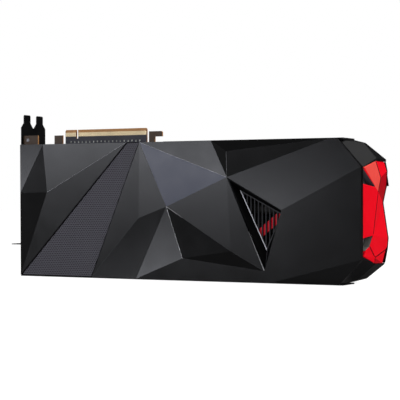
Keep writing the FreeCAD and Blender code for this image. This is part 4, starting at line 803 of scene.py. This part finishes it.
# Corners of the red cover: into the card's depth and up, in millimetres.
COVER_POINTS = {
    "spine": (29.98, 76.84), "low_notch_tip": (18.01, 40.64), "low_notch_side": (12.03, 31.79),
    "heel": (25.02, 22.35), "front_heel": (51.98, 28.09), "low_ridge": (27.02, 17.33),
    "top_ridge": (27.02, 102.18), "brow": (33.0, 88.44), "top_back": (2.51, 96.44),
    "high_notch_tip": (24.0, 80.79), "front_shoulder": (55.0, 94.41),
    "front_cheek": (55.0, 81.74), "front_waist": (55.0, 67.64), "low_front": (49.99, 16.85),
}

# Facets of the cover painted apart from the rest: a painted orange sheen on the upper facets and
# painted shade on four others.
COVER_PAINTED_LIGHT = [
    (("top_back", "top_ridge", "high_notch_tip"), "painted_sheen_red"),
    (("top_ridge", "brow", "high_notch_tip"), "painted_sheen_red"),
    (("brow", "spine", "high_notch_tip"), "painted_sheen_red"),
    (("brow", "front_shoulder", "front_cheek"), "painted_shade_red"),
    (("brow", "front_cheek", "spine"), "painted_shade_red"),
    (("front_cheek", "front_waist", "spine"), "painted_shade_red"),
    (("heel", "low_front", "low_ridge"), "painted_shade_red"),
]

# Creases between the cover's facets, and how far from the line the shadow reaches.
COVER_CREASES = [
    ("spine", "low_notch_tip"), ("low_notch_side", "heel"), ("heel", "front_heel"),
    ("heel", "low_ridge"), ("top_ridge", "brow"), ("brow", "spine"),
]
CREASE_REACH = 0.85 * MM

# Notches of the cover: lower and upper limits into the depth and up, and their walls.
NOTCHES = [((1.0, 80.0), (25.0, 95.2), "high_notch"), ((1.0, 28.0), (19.0, 41.6), "low_notch")]

# A face is a notch's wall when the X of its normal is below this.
NOTCH_WALL = 0.35


def outermost(places, deep, up):
    """The corner that stands out most at one place of the red cover."""
    target = np.array((BACKPLATE_BASE + deep * MM, up * MM))
    here = np.linalg.norm(places[:, [1, 2]] - target, axis=1) < NEAR_PLACE
    found = places[here]
    return found[found[:, 0].argmax()]


def make_red_cover():
    """Rounded end cover: painted sheen and painted shade on some facets, notch walls and
    shadowed creases.
    """
    places = vertex_places(NODES["red_end_cover"].data)
    cover = rounded_copy("red_end_cover")
    middles = face_middles(cover.data)[:, [1, 2]]
    base = (BACKPLATE_BASE, 0.0)
    # Some facets take a painted sheen or painted shade.
    for corners, finish in COVER_PAINTED_LIGHT:
        spots = np.array([COVER_POINTS[corner] for corner in corners]) * MM + base
        paint_faces(cover, inside_outline(middles, clockwise(spots)), finish)
    walls = face_normals(cover.data)[:, 0] < NOTCH_WALL
    for low, high, finish in NOTCHES:
        reach = (middles > np.array(low) * MM + base).all(axis=1)
        reach &= (middles < np.array(high) * MM + base).all(axis=1)
        paint_faces(cover, reach & walls, finish)
    for start, end in COVER_CREASES:
        paint_line(cover, outermost(places, *COVER_POINTS[start]),
                   outermost(places, *COVER_POINTS[end]), CREASE_REACH, "crease")


# ---------------------------------------------------------------------- studio

FLOOR_REACH = 6.0
FLOOR_SHADE = 0.35
FLOOR_LIFT = 0.88
FLOOR_GLOSS = 0.15
FLOOR_BEHIND = 0.10

# Where the floor's gloss goes from dim to dark, from before the card to behind it.
FLOOR_FADE = (-0.05, 0.0)


def seen_directly(tree, path):
    """1 for what the camera sees, straight or through glass, and 0 for other light."""
    return calculate(tree, "MAXIMUM", path.outputs["Is Camera Ray"],
                     path.outputs["Is Transmission Ray"])


def make_floor():
    """Pale floor: its own shade keeps the shadow, and a lift brings the rest to white.

    In gloss it is dim before the card and dark behind it.
    """
    corners = np.array([(-1, -1), (1, -1), (1, 1), (-1, 1)]) * FLOOR_REACH
    mesh = bpy.data.meshes.new("floor")
    mesh.from_pydata([(x, y, 0.0) for x, y in corners], [], [(0, 1, 2, 3)])
    new_piece("floor", mesh)
    material, tree, surface = shader("pale floor")
    surface.inputs["Roughness"].default_value = 1.0
    surface.inputs["Specular IOR Level"].default_value = 0.0
    path = tree.nodes.new("ShaderNodeLightPath")
    glossy = path.outputs["Is Glossy Ray"]
    fade = spread(tree, along(tree, "Y"), *FLOOR_FADE, 0.0, 1.0)
    behind = calculate(tree, "MULTIPLY", fade, glossy)
    shade = blend_colour(tree, behind, (FLOOR_SHADE,) * 3, (FLOOR_BEHIND,) * 3)
    tree.links.new(shade, surface.inputs["Base Color"])
    before = calculate(tree, "SUBTRACT", glossy, behind)
    dim = calculate(tree, "MULTIPLY", before, FLOOR_GLOSS)
    lift = calculate(tree, "MULTIPLY_ADD", seen_directly(tree, path), FLOOR_LIFT, dim)
    surface.inputs["Emission Color"].default_value = (1.0, 1.0, 1.0, 1.0)
    tree.links.new(lift, surface.inputs["Emission Strength"])
    mesh.materials.append(material)


# Dark flags: azimuth, elevation, inner and outer radius in degrees, and level.
FLAGS = [(-45.0, 15.0, 40.0, 65.0, 0.3), (168.0, -6.0, 32.0, 44.0, 0.05),
         (-165.0, 4.0, 30.0, 42.0, 0.05)]
FILL_LEVEL = 0.45


def direction(azimuth, elevation):
    """Unit vector to a place in the studio; azimuth 0 is in front of the backplate."""
    turn, lift = math.radians(azimuth), math.radians(elevation)
    return Vector((math.sin(turn) * math.cos(lift), -math.cos(turn) * math.cos(lift),
                   math.sin(lift)))


def dark_flag(tree, azimuth, elevation, inner, outer, level):
    """1 away from a direction and level around it, with a soft edge between."""
    way = tree.nodes.new("ShaderNodeTexCoord")
    towards = tree.nodes.new("ShaderNodeVectorMath")
    towards.operation = "DOT_PRODUCT"
    towards.inputs[1].default_value = direction(azimuth, elevation)
    tree.links.new(way.outputs["Generated"], towards.inputs[0])
    edge = math.cos(math.radians(outer))
    core = math.cos(math.radians(inner))
    return spread(tree, towards.outputs["Value"], edge, core, 1.0, level, "SMOOTHSTEP")


def make_world():
    """White to the camera, white in gloss but for the dark flags, and soft fill elsewhere."""
    world = bpy.data.worlds.new("studio")
    bpy.context.scene.world = world
    world.use_nodes = True
    tree = world.node_tree
    background = tree.nodes["Background"]
    path = tree.nodes.new("ShaderNodeLightPath")
    shown = spread(tree, seen_directly(tree, path), 0.0, 1.0, FILL_LEVEL, 1.0)
    flagged = 1.0
    for flag in FLAGS:
        flagged = calculate(tree, "MULTIPLY", dark_flag(tree, *flag), flagged)
    level = tree.nodes.new("ShaderNodeMix")
    tree.links.new(path.outputs["Is Glossy Ray"], level.inputs["Factor"])
    tree.links.new(shown, level.inputs["A"])
    tree.links.new(flagged, level.inputs["B"])
    tree.links.new(level.outputs["Result"], background.inputs["Strength"])
    background.inputs["Color"].default_value = (1.0, 1.0, 1.0, 1.0)


# Lamps: azimuth and elevation in degrees, distance, width, height, radiance and colour.
STRIP_FAR = 5.0
LAMPS = {
    "strip": (-31.7, 3.8, STRIP_FAR, STRIP_FAR * math.radians(22.8),
              STRIP_FAR * math.radians(6.9), 16.5, (0.96, 0.98, 1.06)),
    "end_lamp": (105.0, 25.0, 3.0, 1.6, 1.2, 8.0, (1.0, 1.0, 1.0)),
    "top_lamp": (10.0, 75.0, 3.0, 1.6, 1.6, 3.5, (1.0, 1.0, 1.0)),
}

# The place that the lamps are set out from.
LAMP_CENTRE = Vector((0.0, 0.0, 0.06))


def area_light(name, azimuth, elevation, distance, width, height, radiance, colour):
    """A soft rectangular lamp that shines radiance from each point of its face."""
    lamp = bpy.data.lights.new(name, "AREA")
    lamp.shape = "RECTANGLE"
    lamp.size = width
    lamp.size_y = height
    lamp.energy = radiance * math.pi * width * height
    lamp.color = colour
    piece = new_piece(name, lamp)
    way = direction(azimuth, elevation)
    piece.location = way * distance + LAMP_CENTRE
    piece.rotation_euler = way.to_track_quat("Z", "Y").to_euler()
    piece.visible_camera = False


def make_lights():
    """A low strip in front of the plate, a lamp beside the red end and one above."""
    for name, sizes in LAMPS.items():
        area_light(name, *sizes)


# The camera's lens and sensor in millimetres, its place and its turn in degrees.
LENS = 123.97
SENSOR = 36.0
CAMERA_PLACE = (0.5725, -1.0728, 0.0699)
CAMERA_TURN = 27.65


def make_camera():
    """Level camera towards the red end of the backplate side."""
    lens = bpy.data.cameras.new("camera")
    lens.sensor_width = SENSOR
    lens.lens = LENS
    lens.clip_end = 50.0
    camera = new_piece("camera", lens)
    camera.location = CAMERA_PLACE
    camera.rotation_euler = (math.radians(90.0), 0.0, math.radians(CAMERA_TURN))
    bpy.context.scene.camera = camera


# ----------------------------------------------------------------------- scene

dress_cad_nodes()
make_backplate()
make_board()
make_mesh_panel()
make_vent_grille()
make_vent_bead()
make_vent_stem()
make_ridge_glints()
make_red_cover()
rounded_copy("end_cap")
make_floor()
make_world()
make_lights()
make_camera()

bpy.context.scene.view_settings.view_transform = "Standard"
